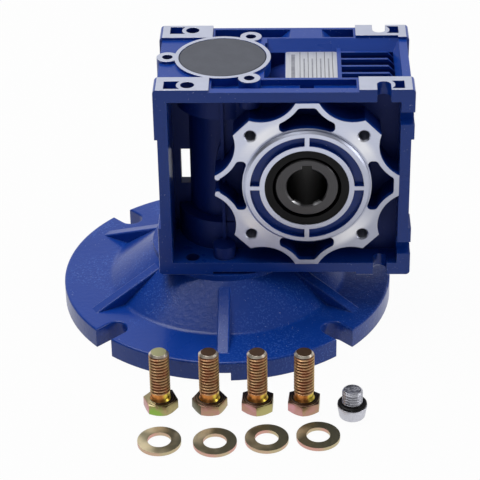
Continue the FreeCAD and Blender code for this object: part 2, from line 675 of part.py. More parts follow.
def fin_walls():
    """The low wall beside the label plate that the fins start from, over and under the drum."""
    x = (OUT_X + " + fin_start - fin_wall", OUT_X + " + fin_start + 0.1")
    y = ("-" + INSIDE_RIDGES, INSIDE_RIDGES)
    return [block("top_fin_wall", x, y, (level("top", "wheel_room_half"), level("top", "fin_height"))),
            block("base_fin_wall", x, y, (level("base", "fin_height"), level("base", "wheel_room_half")))]


def crowns():
    """The flat crown of the drum, above and below: the upper one seats the label plate."""
    x = (OUT_X + " - plate_left - slack", OUT_X + " + plate_right")
    y = ("-" + INSIDE_RIDGES, "slope_foot + 1")
    low = STAR_HALF + " - slope_root"
    return [block("top_crown", x, y, (level("top", low), level("top", STAR_HALF))),
            block("base_crown", x, y, (level("base", STAR_HALF), level("base", low)))]


def valleys():
    """The deep valley between the worm's bearing boss and the drum crown, above and below."""
    y = ("-" + INSIDE_RIDGES, "slope_foot")
    x = (OUT_X + " - valley_left", OUT_X + " - plate_left - slack")
    tools = []
    for side, z in (("top", (OUT_Z, TOP + " + 1")), ("base", (BASE + " - 1", OUT_Z))):
        field = block(side + "_valley_field", x, y, z)
        floor = rod(side + "_valley_floor", WHEEL_ROOM + " + valley_wall", OUT_X,
                    (y[0] + " - 1", y[1] + " + 1"), OUT_Z)
        boss = rod(side + "_valley_boss", BOSS, 0, 0, (BASE + " - 2", TOP + " + 2"))
        tools.append(cut(side + "_valley", field, floor, boss))
    return tools


def lugs(side):
    """Three tapped lugs round a worm bearing boss: solids and their holes."""
    solids = []
    holes = []
    for degrees in (60, 180, 300):
        x, y = around("lug_circle", degrees)
        solids.append(rod("%s_lug_%d" % (side, degrees), "lug_radius", x, y,
                          (TOP + " - lug_height", TOP)))
        holes.append(rod("%s_lug_hole_%d" % (side, degrees), "tap_radius", x, y,
                         (TOP + " - tap_depth", TOP + " + 1")))
    return solids, holes


def housing():
    """The one-piece casting with its front star face."""
    tube_span = (BASE, TOP)
    frame = cut("frame", frame_blank(), *(frame_recesses() + trough_and_pocket_tools()))
    inner_y = ("-" + INSIDE_RIDGES, INSIDE_RIDGES)
    slab = block("slab", ("0", RIGHT + " - frame_wall + 0.5"), ("-web_half", "web_half"),
                 (BASE + " + foot_rise", TOP + " - foot_rise"))
    pocket_x = ("0", RIGHT + " - pocket_wall")
    slope_x = (BOSS + " - 2", RIGHT + " - pocket_wall")
    slope_y = (INSIDE_RIDGES + " - 1", "web_half + 1")
    hollows = [block("slab_top_hollow", pocket_x, inner_y, (OUT_Z, TOP + " + 1")),
               block("slab_base_hollow", pocket_x, inner_y, (BASE + " - 1", OUT_Z)),
               block("slab_top_slope", slope_x, slope_y, (level("top", STAR_HALF), TOP + " + 1")),
               block("slab_base_slope", slope_x, slope_y, (BASE + " - 1", level("base", STAR_HALF)))]
    central = cut("central_walls", slab, *hollows)
    drum = rod("drum", DRUM, OUT_X, ("-web_half", "web_half"), OUT_Z)
    tube = rod("worm_tube", TUBE, 0, 0, tube_span)
    bosses = [rod("top_boss", BOSS, 0, 0, (TOP + " - boss_length", TOP)),
              rod("base_boss", BOSS, 0, 0, (BASE, BASE + " + boss_length"))]
    web = block("side_web", (LEFT + " + frame_wall - 0.5", "0"), ("-side_web", "side_web"),
                (BASE + " + foot_rise", TOP + " - foot_rise"))
    tube_ribs = block("tube_ribs", ("-tube_rib / 2", "tube_rib / 2"),
                      ("-(%s + tube_rib_rise)" % BOSS, "%s + tube_rib_rise" % BOSS),
                      (BASE + " + frame_wall - 1", TOP + " - frame_wall + 1"))
    rear_boss = rod("rear_boss", STAR_HALF, OUT_X, ("web_half - 1", COVER_SEAT), OUT_Z)
    hub = [ring("front_hub", "output_bearing_radius", "hub_ring + hub_wall", "wheel_room_half", STAR_FACE,
                **FRONT),
           centring_ring("front_ring", FRONT)]
    lug_solids, lug_holes = lugs("top")
    screw_bosses = []
    screw_holes = []
    for degrees in QUARTERS:
        x, y = around("bell_screw_circle", degrees)
        screw_bosses.append(rod("bell_boss_%d" % degrees, "bell_screw + bell_boss_wall", x, y,
                                (BASE, BASE + " + tap_depth + 1")))
        screw_holes.append(rod("bell_screw_hole_%d" % degrees, "bell_screw", x, y,
                               (BASE + " - 1", BASE + " + tap_depth")))
    drum_land = block("drum_land", (OUT_X + " + " + WHEEL_ROOM, RIGHT + " - 1"), ("-web_half", "web_half"),
                      (OUT_Z + " - port_face - port_land", OUT_Z + " + port_face + port_land"))
    fins = [fin(index, side) for side in ("top", "base") for index in range(5)]
    solid = fuse("housing_solid", frame, central, drum, tube, *bosses, web, tube_ribs, *open_star(),
                 rear_boss, *hub, *lug_solids, *screw_bosses, drum_land, *fins, *fin_walls(), *crowns(),
                 *slopes("top"), *slopes("base"))
    tools = foot_hole_tools() + lug_holes + screw_holes + valleys()
    tools.append(block("flush_left", (LEFT + " - 5", LEFT), ("-" + HALF, HALF), tube_span))
    tools.append(rod("wheel_room", WHEEL_ROOM, OUT_X, ("-wheel_room_half", COVER_SEAT + " + 1"), OUT_Z))
    tools.append(rod("front_bearing_seat", "output_bearing_radius", OUT_X,
                     ("-" + BEARING_OUT, "0"), OUT_Z))
    tools.append(rod("front_seal_seat", "output_seal_radius", OUT_X,
                     ("-" + RING_FACE + " - 1", "0"), OUT_Z))
    tools.append(rod("worm_room", WORM_ROOM, 0, 0, (BASE + " - 1", TOP + " + 1")))
    tools.append(rod("top_bearing_seat", "worm_bearing_radius", 0, 0,
                     (TOP_BEARING, TOP + " + 1")))
    tools.append(rod("base_bearing_seat", "worm_bearing_radius", 0, 0,
                     (BASE + " - 1", BASE_BEARING + " + base_bearing_width")))
    tools.append(rod("circlip_groove", "worm_bearing_radius + circlip_bite", 0, 0,
                     (TOP + " - cap_thickness - circlip_width", TOP + " - cap_thickness")))
    tools.append(rod("port", "port_radius", (OUT_X, RIGHT + " + 1"), 0, OUT_Z))
    tools.append(rod("port_spot_face", "port_face",
                     (RIGHT + " - foot_rise - port_face_depth", RIGHT + " + 1"), 0, OUT_Z))
    tools.append(block("web_window", ("-window_left", "window_width - window_left"),
                       ("-side_web - 1", "side_web + 1"),
                       (OUT_Z + " - window_drop - window_height / 2",
                        OUT_Z + " - window_drop + window_height / 2")))
    for degrees in (45, 135, 225, 315):
        x, z = around("star_bolt_circle / 2", degrees)
        tools.append(rod("star_hole_%d" % degrees, "tap_radius", OUT_X + " + " + x,
                         ("-%s - 1" % STAR_FACE, "-(%s - tap_depth)" % STAR_FACE), OUT_Z + " + " + z))
        tools.append(tap_mouth("star_mouth_%d" % degrees, x, z, FRONT))
    for degrees in QUARTERS:
        x, z = around("cover_screw_circle", degrees)
        tools.append(rod("cover_screw_hole_%d" % degrees, "cover_screw", OUT_X + " + " + x,
                         (COVER_SEAT + " + cover_thickness - cover_screw_length - 1",
                          COVER_SEAT + " + 1"), OUT_Z + " + " + z))
    tools += annular_recess("front", "-")
    return sub_part("housing", cut("housing", solid, *tools))


def tap_mouth(name, x, z, place):
    """The countersunk mouth of a tapped hole in a star face."""
    cone = doc.addObject("Part::Cone", name)
    bind(cone, Radius1="tap_radius", Radius2="tap_radius + 2 * tap_break", Height="2 * tap_break")
    depth = "(%s - tap_break)" % STAR_FACE
    y = "-" + depth if place is FRONT else depth
    return at(cone, OUT_X + " + " + x, y, OUT_Z + " + " + z, place["turn"])


def centring_ring(name, place):
    """The machined ring that centres what is bolted to the star face, its outer edge broken."""
    return turned(name, [
        ("output_seal_radius", BEARING_OUT), ("hub_ring", BEARING_OUT),
        ("hub_ring", RING_FACE + " - ring_chamfer"), ("hub_ring - ring_chamfer", RING_FACE),
        ("output_seal_radius", RING_FACE)], **place)


def annular_recess(name, sign):
    """The recess round the seal, crossed by four ribs: front is -, rear is +."""
    low = RING_FACE + " - recess_depth"
    place = FRONT if sign == "-" else REAR
    hollow = ring(name + "_recess", "recess_in", "recess_out", low, RING_FACE + " + 1", **place)
    half = "recess_rib / 2"
    y = ("-%s - 2" % RING_FACE, "-(%s) + 1" % low) if sign == "-" else (low + " - 1", RING_FACE + " + 2")
    upright = block(name + "_upright", (OUT_X + " - " + half, OUT_X + " + " + half), y,
                    (OUT_Z + " - hub_ring", OUT_Z + " + hub_ring"))
    level = block(name + "_level", (OUT_X + " - hub_ring", OUT_X + " + hub_ring"), y,
                  (OUT_Z + " - " + half, OUT_Z + " + " + half))
    return [cut(name + "_recess_cut", hollow, upright, level)]


def side_cover():
    """The rear cover that closes the wheel room and carries the rear bearing."""
    plate = at(star("cover_star", COVER_SEAT, STAR_FACE), turn=TO_REAR, **OUTPUT)
    raised = centring_ring("cover_ring", REAR)
    spigot = ring("cover_spigot", "output_bearing_radius", WHEEL_ROOM + " - fit",
                  COVER_SEAT + " - cover_spigot", COVER_SEAT + " + 1", **REAR)
    solid = fuse("cover_solid", plate, raised, spigot)
    groove_low = COVER_SEAT + " - groove_step"
    tools = [rod("cover_bearing_seat", "output_bearing_radius", OUT_X, ("0", BEARING_OUT), OUT_Z),
             rod("cover_seal_seat", "output_seal_radius", OUT_X, ("0", RING_FACE + " + 1"), OUT_Z),
             ring("cover_groove", WHEEL_ROOM + " - 2 * ring_cord", WHEEL_ROOM + " + 1",
                  groove_low + " - 1.2 * ring_cord", groove_low + " + 1.2 * ring_cord", **REAR)]
    for degrees in (45, 135, 225, 315):
        x, z = around("star_bolt_circle / 2", degrees)
        tools.append(rod("cover_hole_%d" % degrees, "tap_radius", OUT_X + " + " + x,
                         (COVER_SEAT, STAR_FACE + " + 1"), OUT_Z + " + " + z))
        tools.append(tap_mouth("cover_mouth_%d" % degrees, x, z, REAR))
    for degrees in QUARTERS:
        x, z = around("cover_screw_circle", degrees)
        centre = (OUT_X + " + " + x, OUT_Z + " + " + z)
        tools.append(rod("cover_screw_pass_%d" % degrees, "cover_screw + slack", centre[0],
                         (COVER_SEAT + " - 1", STAR_FACE + " + 1"), centre[1]))
        tools.append(countersink("cover_sink_%d" % degrees, centre[0], centre[1], "fit"))
    tools += annular_recess("rear", "+")
    return sub_part("side_cover", cut("side_cover", solid, *tools))


def countersink(name, x, z, room):
    """A cone that opens to the rear face of the cover."""
    cone = doc.addObject("Part::Cone", name)
    head = "(cover_screw_head - cover_screw)"
    bind(cone, Radius1="cover_screw + " + room, Radius2="cover_screw_head + " + room, Height=head)
    return at(cone, x, "%s - %s" % (STAR_FACE, head), z, turn=TO_REAR)


def cover_screws():
    """Four countersunk socket screws in the side cover."""
    screws = []
    for degrees in QUARTERS:
        x, z = around("cover_screw_circle", degrees)
        x, z = OUT_X + " + " + x, OUT_Z + " + " + z
        shank = rod("cover_shank_%d" % degrees, "cover_screw", x,
                    (STAR_FACE + " - cover_screw_length", STAR_FACE + " - 1"), z)
        socket = rod("cover_socket_%d" % degrees, "cover_socket", x,
                     (STAR_FACE + " - cover_socket_depth", STAR_FACE + " + 1"), z)
        head = countersink("cover_head_%d" % degrees, x, z, "0")
        screws.append(cut("cover_screw_%d" % degrees, fuse("cover_screw_solid_%d" % degrees, shank, head),
                          socket))
    return sub_part("cover_screws", group("Part::Compound", "cover_screws", screws))


def torus(name, major, minor, x, y, z, turn=None):
    """A round cord bent into a ring."""
    thing = doc.addObject("Part::Torus", name)
    bind(thing, Radius1=major, Radius2=minor)
    return at(thing, x, y, z, turn)


def cover_ring():
    """The seal ring in the groove of the cover's spigot."""
    return sub_part("cover_o_ring", torus(
        "cover_o_ring", WHEEL_ROOM + " - ring_cord", "ring_cord - fit", OUT_X,
        COVER_SEAT + " - groove_step", OUT_Z, TO_REAR))


def bearing(label, bore, outer, low, width, place):
    """A ball bearing: outer ring and inner ring with raceways, and its row of balls."""
    middle = "(%s + %s) / 2" % (bore, outer)
    ball = "(%s - %s) * 0.28" % (outer, bore)
    land = "(%s - %s) * 0.14" % (outer, bore)
    high = "%s + %s" % (low, width)
    centre = "(%s) + (%s) / 2" % (low, width)
    turn = place.get("turn")
    if turn is TO_FRONT:
        row = dict(place, y="-(%s)" % centre)
    elif turn is TO_REAR:
        row = dict(place, y=centre)
    else:
        row = dict(place, z=centre)
    sides = {"outer": (middle + " + " + land, outer + " - fit"),
             "inner": (bore + " + fit", middle + " - " + land)}
    for side, (inside, outside) in sides.items():
        body = ring("%s_%s_ring" % (label, side), inside, outside, low, high, **place)
        race = body.newObject("PartDesign::Groove", "%s_%s_race" % (label, side))
        circle = draw_circle(sketch_on(body, "%s_%s_race_circle" % (label, side), "XZ_Plane"),
                             ball + " + fit", middle, centre)
        race.Profile = circle
        race.ReferenceAxis = (circle, ["V_Axis"])
        race.Angle = 360
        sub_part("%s_%s_ring" % (label, side), body)
    balls = []
    for index in range(COUNTS["balls"]):
        sphere = doc.addObject("Part::Sphere", "%s_ball_%d" % (label, index))
        bind(sphere, Radius=ball)
        first, second = around(middle, "360 / balls * %d" % index)
        if turn in (TO_FRONT, TO_REAR):
            at(sphere, "%s + %s" % (row["x"], first), row["y"], "%s + %s" % (row["z"], second))
        else:
            at(sphere, first, second, row["z"])
        balls.append(sphere)
    return sub_part(label + "_balls", group("Part::Compound", label + "_balls", balls))


def oil_seal(label, bore, outer, low, width, place):
    """A lip seal: a rubber ring with a hollow back and a lip on the shaft."""
    high = "%s + %s" % (low, width)
    third = "(%s - %s) / 3" % (outer, bore)
    return sub_part(label, turned(label, [
        (bore + " + fit", low), (bore + " + fit", "%s + 0.3 * %s" % (low, width)),
        ("%s + %s" % (bore, third), "%s + 0.6 * %s" % (low, width)),
        (bore + " + seal_room", high), ("%s - fit" % outer, high), ("%s - fit" % outer, low)], **place))


def output_shaft():
    """Hollow keyed shaft with the hub that carries the bronze rim."""
    end = RING_FACE + " - output_shaft_sink"
    shoulder = "output_shaft_radius + shoulder_rise"
    bore = "output_bore / 2"
    outline = [(bore, "-(%s) + bore_chamfer" % end), (bore + " + bore_chamfer", "-(%s)" % end),
               ("output_shaft_radius - shaft_chamfer", "-(%s)" % end),
               ("output_shaft_radius", "-(%s) + shaft_chamfer" % end),
               ("output_shaft_radius", "-output_bearing_inner"),
               (shoulder, "-output_bearing_inner"), (shoulder, "-rim_half"),
               ("rim_seat", "-rim_half"), ("rim_seat", "rim_half"),
               (shoulder, "rim_half"), (shoulder, "output_bearing_inner"),
               ("output_shaft_radius", "output_bearing_inner"),
               ("output_shaft_radius", end + " - shaft_chamfer"),
               ("output_shaft_radius - shaft_chamfer", end),
               (bore + " + bore_chamfer", end), (bore, end + " - bore_chamfer")]
    shaft = turned("output_shaft_blank", outline, **FRONT)
    keyway = block("output_keyway", (OUT_X + " - output_key / 2", OUT_X + " + output_key / 2"),
                   ("-" + RING_FACE, RING_FACE), (OUT_Z, OUT_Z + " + output_key_height"))
    return sub_part("output_shaft", cut("output_shaft", shaft, keyway))


def bronze_rim():
    """Throated worm wheel rim: each gap is a groove turned about the tilted worm axis."""
    body = doc.addObject("PartDesign::Body", "bronze_rim")
    blank = draw(sketch_on(body, "rim_outline", "XZ_Plane"), [
        ("rim_seat", "-rim_half"), (RIM_RADIUS, "-rim_half"), (RIM_RADIUS, "rim_half"),
        ("rim_seat", "rim_half")])
    spin = body.newObject("PartDesign::Revolution", "rim_blank")
    spin.Profile = blank
    spin.ReferenceAxis = (blank, ["V_Axis"])
    spin.Angle = 360
    throat = draw_circle(sketch_on(body, "rim_throat", "XZ_Plane"),
                         WORM_PITCH + " - tooth_module", "centre_distance")
    hollow = body.newObject("PartDesign::Groove", "rim_throat_cut")
    hollow.Profile = throat
    hollow.ReferenceAxis = (throat, ["V_Axis"])
    hollow.Angle = 360
    doc.recompute()
    gap = sketch_on(body, "tooth_gap", "XY_Plane")
    gap.AttachmentOffset = Placement(Vector(), Rotation(Vector(1, 0, 0), 1))
    gap.setExpression("AttachmentOffset.Base.x", rule("-centre_distance"))
    gap.setExpression("AttachmentOffset.Rotation.Angle",
                      rule("atan(tooth_module / (2 * %s))" % WORM_PITCH))
    # Half widths of the room that the thread sweeps as it passes through a gap, by its radius
    swept = ((-2.25, 2.05), (-1, 1.475), (0, 1.175), (0.5, 0.975), (1, 0.58))
    stations = [("%s + %g * tooth_module" % (WORM_PITCH, out), "%g * tooth_module + backlash" % half)
                for out, half in swept]
    stations.append((WORM_PITCH + " + tooth_module + root_gap", "0.56 * tooth_module + backlash"))
    draw(gap, [(out, "-(%s)" % half) for out, half in stations] + stations[::-1])
    groove = body.newObject("PartDesign::Groove", "tooth_gap_cut")
    groove.Profile = gap
    groove.ReferenceAxis = (gap, ["V_Axis"])
    groove.Angle = 360
    bind(repeat(body, "tooth_gaps", groove, COUNTS["teeth"]), Occurrences="teeth")
    return sub_part("bronze_rim", at(body, **FRONT))


def worm():
    """Worm in one piece with its hollow input end and its tail journal."""
    thread_low = "%s - worm_length / 2" % OUT_Z
    thread_high = "%s + worm_length / 2" % OUT_Z
    foot = BASE + " + 1"
    input_top = BASE_BEARING + " + base_bearing_width"
    tail_low = TOP_BEARING
    tail_top = TOP + " - cap_thickness - circlip_width"
    core = turned("worm_core", [
        ("0", foot), ("input_radius", foot), ("input_radius", input_top),
        ("input_radius - 1", input_top + " + 1"), ("input_radius - 1", thread_low + " - 5"),
        (WORM_ROOT, thread_low + " - 2"), (WORM_ROOT, thread_high + " + 2"),
        ("tail_radius + 1", thread_high + " + 5"),
        ("tail_radius + 1", tail_low), ("tail_radius", tail_low), ("tail_radius", tail_top),
        ("0", tail_top)])
    helix = doc.addObject("Part::Helix", "thread_path")
    bind(helix, Pitch=AXIAL_PITCH, Height="6 * " + AXIAL_PITCH, Radius=WORM_PITCH)
    at(helix, 0, 0, OUT_Z + " - 3 * " + AXIAL_PITCH)
    section = doc.addObject("Sketcher::SketchObject", "thread_section")
    section.Placement = Placement(Vector(), TO_FRONT)
    at(section, 0, 0, OUT_Z + " - 3 * " + AXIAL_PITCH)
    tip = "pi * tooth_module / 4 - tooth_module * tan(20)"
    root = "pi * tooth_module / 4 + (tooth_module + root_gap + 0.3) * tan(20)"
    draw(section, [(WORM_ROOT + " - 0.3", "-(%s)" % root), (WORM_TIP, "-(%s)" % tip),
                   (WORM_TIP, tip), (WORM_ROOT + " - 0.3", root)])
    doc.recompute()
    thread = doc.addObject("Part::Sweep", "thread_sweep")
    thread.Sections = [section]
    thread.Spine = (helix, [])
    thread.Solid = True
    thread.Frenet = True
    doc.recompute()
    span = rod("thread_span", WORM_TIP + " + 1", 0, 0, (thread_low, thread_high))
    trimmed = common("thread", thread, span)
    solid = fuse("worm_solid", core, trimmed)
    bore = rod("motor_shaft_bore", "motor_bore / 2", 0, 0, (BASE, BASE + " + motor_bore_depth"))
    keyway = block("motor_keyway", ("-motor_key / 2", "motor_key / 2"), ("0", "motor_key_height"),
                   (BASE, BASE + " + motor_bore_depth"))
    return sub_part("worm", cut("worm", solid, bore, keyway))


def worm_end_pieces():
    """Cap and retaining ring over the upper bearing."""
    cap = turned("worm_end_cap", [
        ("0", TOP + " - cap_thickness"), ("worm_bearing_radius - fit", TOP + " - cap_thickness"),
        ("worm_bearing_radius - fit", TOP + " - cap_break"), ("worm_bearing_radius - cap_break", TOP),
        ("0", TOP)])
    sub_part("worm_end_cap", cap)
    low = TOP + " - cap_thickness - circlip_width + fit"
    clip = ring("circlip_blank", "worm_bearing_radius - circlip_band",
                "worm_bearing_radius + circlip_bite - fit",
                low, TOP + " - cap_thickness - fit")
    gap = block("circlip_opening", ("-circlip_gap / 2", "circlip_gap / 2"), ("0", "worm_bearing_radius * 2"),
                (low + " - 1", TOP))
    sub_part("circlip", cut("circlip", clip, gap))


def bell_rib(degrees):
    """One rib of the bell, from its neck down to a point on the rim, with round upper edges."""
    name = "bell_rib_%d" % degrees
    body = doc.addObject("PartDesign::Body", name)
    outline = draw(sketch_on(body, name + "_outline", "XZ_Plane"), [
        ("rib_foot", "bell_rim"), ("rib_head", "bell_height - rib_drop"),
        ("cone_head - 1", "bell_height - rib_drop"), ("cone_head - 1", "bell_height - bell_plate + 0.5"),
        ("cone_foot - 1", "bell_rim - 2"), ("rib_foot", "bell_rim - 2")])
    web = pad(body, name + "_pad", outline, "rib_width")
    web.Midplane = True
    inside = measure("(cone_head + cone_foot) / 2 + 1")
    rounded(body, name + "_rounding", web, "rib_round",
            lambda point, way: abs(way.x) > 0.1 and abs(way.z) > 0.1 and point.x > inside)
    return at(body, turn=Rotation(Vector(0, 0, 1), degrees))


def motor_bell():
    """Turned motor bell with six ribs and four open slots."""
    body = doc.addObject("PartDesign::Body", "bell_body")
    cone_top = "bell_height - cone_neck"
    plate = "bell_height - bell_plate"
    outline = draw(sketch_on(body, "bell_outline", "XZ_Plane"), [
        ("pilot_radius", "0"), ("bell_radius", "0"), ("bell_radius", "bell_rim"),
        ("cone_foot", "bell_rim"), ("cone_head", cone_top), ("cone_head", "bell_height"),
        ("bell_bore", "bell_height"), ("bell_bore", plate), ("cone_head - neck_wall", plate),
        ("cone_head - neck_wall", plate + " - neck_wall"), ("cone_foot - bell_wall", "pilot_depth"),
        ("pilot_radius", "pilot_depth")])
    spin = body.newObject("PartDesign::Revolution", "bell_turn")
    spin.Profile = outline
    spin.ReferenceAxis = (outline, ["V_Axis"])
    spin.Angle = 360
    rim, beyond = measure("bell_rim"), measure("cone_foot + cone_round")
    rounded(body, "cone_rounding", spin, "cone_round",
            lambda point, way: abs(point.z - rim) < 0.01 and math.hypot(point.x, point.y) < beyond)
    slot = sketch_on(body, "slot_outline", "XY_Plane")
    slot.AttachmentOffset = Placement(Vector(), Rotation(Vector(0, 0, 1), 45))
    draw(slot, [("motor_slot_circle", "-motor_slot / 2"), ("bell_radius + 5", "-motor_slot / 2"),
                ("bell_radius + 5", "motor_slot / 2"), ("motor_slot_circle", "motor_slot / 2")])
    repeat(body, "slots", pocket(body, "slot", slot), 4)
    slot_end = sketch_on(body, "slot_end_outline", "XY_Plane")
    slot_end.AttachmentOffset = Placement(Vector(), Rotation(Vector(0, 0, 1), 45))
    draw_circle(slot_end, "motor_slot / 2", "motor_slot_circle")
    ends = repeat(body, "slot_ends", pocket(body, "slot_end", slot_end), 4)
    rounded(body, "rim_rounding", ends, "rim_round",
            lambda point, way: abs(point.z - rim) < 0.01 and math.hypot(point.x, point.y) > beyond)
    solid = fuse("bell_solid", body, *[bell_rib(30 + 60 * step) for step in range(6)])
    tools = [block("drain", ("-drain_width / 2", "drain_width / 2"),
                   ("-bell_radius - 5", "-pilot_radius + 2"), ("-1", "drain_height"))]
    for degrees in QUARTERS:
        x, y = around("bell_screw_circle", degrees)
        tools.append(rod("bell_pass_%d" % degrees, "bell_screw + slack", x, y,
                         ("0", "bell_height + 1")))
    return sub_part("motor_bell", cut("bell", solid, *tools))


def bell_screws():
    """Four socket head screws that hold the bell from below."""
    screws = []
    plate = "bell_height - bell_plate"
    for degrees in QUARTERS:
        x, y = around("bell_screw_circle", degrees)
        head = rod("bell_head_%d" % degrees, "bell_screw_head", x, y,
                   (plate + " - bell_screw_head_height", plate))
        shank = rod("bell_shank_%d" % degrees, "bell_screw - fit", x, y,
                    (plate + " - 1", plate + " + bell_screw_length"))
        socket = doc.addObject("Part::Prism", "bell_socket_%d" % degrees)
        socket.Polygon = 6
        bind(socket, Circumradius="bell_screw", Height="bell_screw_head_height / 2 + 1")
        at(socket, x, y, plate + " - bell_screw_head_height - 1")
        screws.append(cut("bell_screw_%d" % degrees, fuse("bell_screw_solid_%d" % degrees, head, shank),
                          socket))
    return sub_part("bell_screws", group("Part::Compound", "bell_screws", screws))


def filler_plug():
    """Flush hexagon socket plug in the filler port."""
    outer = RIGHT + " - foot_rise - port_face_depth"
    body = rod("filler_body", "port_radius - fit", (outer + " - plug_reach", outer + " + 0.5"), 0, OUT_Z)
    head = rod("filler_head", "plug_head", (outer, outer + " + plug_head_height"), 0, OUT_Z)
    socket = doc.addObject("Part::Prism", "filler_socket")
    socket.Polygon = 6
    bind(socket, Circumradius="plug_socket", Height="plug_socket_depth + 1")
    at(socket, outer + " + plug_head_height - plug_socket_depth", 0, OUT_Z, ALONG_X)
    return sub_part("filler_plug", cut("filler_plug", fuse("filler_solid", body, head), socket))


def label_plate():
    """Thin flat plate with round corners on the crown of the drum."""
    body = doc.addObject("PartDesign::Body", "label_plate")
    outline = draw(sketch_on(body, "plate_outline", "XY_Plane"), [
        ("-plate_left", "-plate_half"), ("plate_right", "-plate_half"),
        ("plate_right", "plate_half"), ("-plate_left", "plate_half")])
    sheet_metal = pad(body, "plate_pad", outline, "plate_thickness")
    rounded(body, "plate_rounding", sheet_metal, "plate_round", lambda point, way: abs(way.z) > 0.9)
    return sub_part("label_plate", at(body, OUT_X, 0, level("top", STAR_HALF)))


def hexagon(name, across, low, height, x, y, degrees):
    """A hexagon head by its width across the flats."""
    head = doc.addObject("Part::Prism", name)
    head.Polygon = 6
    bind(head, Circumradius="%s / 2 / cos(30)" % across, Height=height)
    return at(head, x, y, low, Rotation(Vector(0, 0, 1), degrees))


def loose_hardware():
    """Motor bolts stand on their heads, washers lie flat, and the vent plug stands beside them."""
    bolts = []
    washers = []
    # Each bolt's place in its row and the turn of its head, then its washer's place and offset
    places = [(-28, -8, -27.2, 0.9), (-5.3, 3, -2, 1.7), (16.9, 27, 21.4, -1), (38.4, 25, 44.7, -3)]
    tip = "bolt_head_height + bolt_length"
    for index, (bolt_x, degrees, washer_x, forward) in enumerate(places):
        shank = turned("bolt_shank_%d" % index, [
            ("0", "bolt_head_height - 1"), ("bolt_radius", "bolt_head_height - 1"),
            ("bolt_radius", tip + " - bolt_lead"), ("bolt_radius - bolt_lead", tip), ("0", tip)],
            x=bolt_x, y="-bolt_row")
        bolts.append(fuse("motor_bolt_%d" % index, shank, hexagon(
            "bolt_head_%d" % index, "bolt_head", "0", "bolt_head_height", bolt_x, "-bolt_row", degrees)))
        washers.append(ring("motor_washer_%d" % index, "washer_hole", "washer_radius", "0",
                            "washer_thickness", x=washer_x, y="-(washer_row + %g)" % forward))
    sub_part("motor_bolts", group("Part::Compound", "motor_bolts", bolts))
    sub_part("motor_washers", group("Part::Compound", "motor_washers", washers))
    seat = "vent_head_height"
    thread = "vent_head_height + 2 * vent_cord"
    top = "vent_head_height + 2 * vent_cord + vent_length"
    vent = turned("vent_plug", [
        ("0", "0"), ("vent_head_end - vent_break", "0"), ("vent_head_end", "vent_break"),
        ("vent_head", seat + " - vent_break"), ("vent_head", seat), ("vent_neck", seat),
        ("vent_neck", thread + " - vent_break"), ("vent_stem", thread + " + vent_break"),
        ("vent_stem", top + " - vent_break"), ("vent_stem - vent_break", top),
        ("vent_hole + vent_break", top), ("vent_hole", top + " - vent_break"),
        ("vent_hole", top + " - vent_passage"), ("0", top + " - vent_passage")],
        x="vent_right", y="-vent_front")
    sub_part("vent_plug", vent)
    sub_part("vent_o_ring", torus("vent_o_ring", "vent_neck + vent_cord", "vent_cord - fit",
                                  "vent_right", "-vent_front", seat + " + vent_cord"))


housing()
side_cover()
cover_screws()
cover_ring()
oil_seal("output_seal_front", "output_shaft_radius", "output_seal_radius",
         RING_FACE + " - seal_sink - output_seal_width", "output_seal_width", FRONT)
oil_seal("output_seal_rear", "output_shaft_radius", "output_seal_radius",
         RING_FACE + " - seal_sink - output_seal_width", "output_seal_width", REAR)
oil_seal("input_seal", "input_radius", "worm_bearing_radius", BASE + " + seal_sink", "input_seal_width",
         UPRIGHT)
bearing("front_bearing", "output_shaft_radius", "output_bearing_radius", "output_bearing_inner",
        "output_bearing_width", FRONT)
bearing("rear_bearing", "output_shaft_radius", "output_bearing_radius", "output_bearing_inner",
        "output_bearing_width", REAR)
bearing("top_bearing", "tail_radius", "worm_bearing_radius", TOP_BEARING, "top_bearing_width",
        UPRIGHT)
bearing("base_bearing", "input_radius", "worm_bearing_radius", BASE_BEARING, "base_bearing_width",
        UPRIGHT)
output_shaft()
bronze_rim()
worm()
worm_end_pieces()
motor_bell()
bell_screws()
filler_plug()
label_plate()
loose_hardware()

doc.recompute()
faulty = [item.Label for item in doc.Objects if "Invalid" in item.State or "Error" in item.State]
faulty += [item.Label for item in SUB_PARTS if item.Shape.isNull() or not item.Shape.isValid()]
if faulty:
    raise RuntimeError("features that failed: " + ", ".join(faulty))
os.makedirs("parts", exist_ok=True)
for item in SUB_PARTS:
    shape = item.Shape
    shape.exportStep("parts/%s.step" % item.Label)
    print("%-26s %2d solids %10.1f mm3 %5d faces" % (
        item.Label, len(shape.Solids), shape.Volume, len(shape.Faces)))
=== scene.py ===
# %% [markdown]
# # A worm gear reducer, dressed for a studio picture
# The frame holds the solids of a right-angle reducer: a square cast housing on a round motor bell,
# with its bolts, washers and vent plug standing in front. Here each solid gets its finish, and the
# small threaded pieces get the shape that plain solids leave out.

# %% The frame
import math

import bpy
from mathutils import Matrix, Vector


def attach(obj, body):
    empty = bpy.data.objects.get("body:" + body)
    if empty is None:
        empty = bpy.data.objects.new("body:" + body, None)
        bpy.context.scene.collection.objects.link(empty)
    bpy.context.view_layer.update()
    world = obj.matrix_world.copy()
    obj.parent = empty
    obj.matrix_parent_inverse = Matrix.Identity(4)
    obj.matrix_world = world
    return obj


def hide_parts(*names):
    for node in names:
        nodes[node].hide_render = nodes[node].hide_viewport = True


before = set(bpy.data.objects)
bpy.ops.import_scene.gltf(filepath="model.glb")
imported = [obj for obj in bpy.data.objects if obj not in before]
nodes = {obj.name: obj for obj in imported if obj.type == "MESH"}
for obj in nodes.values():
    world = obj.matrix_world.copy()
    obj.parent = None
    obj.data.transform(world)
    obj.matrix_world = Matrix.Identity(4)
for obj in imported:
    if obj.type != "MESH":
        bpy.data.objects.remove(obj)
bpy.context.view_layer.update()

MM = 0.001

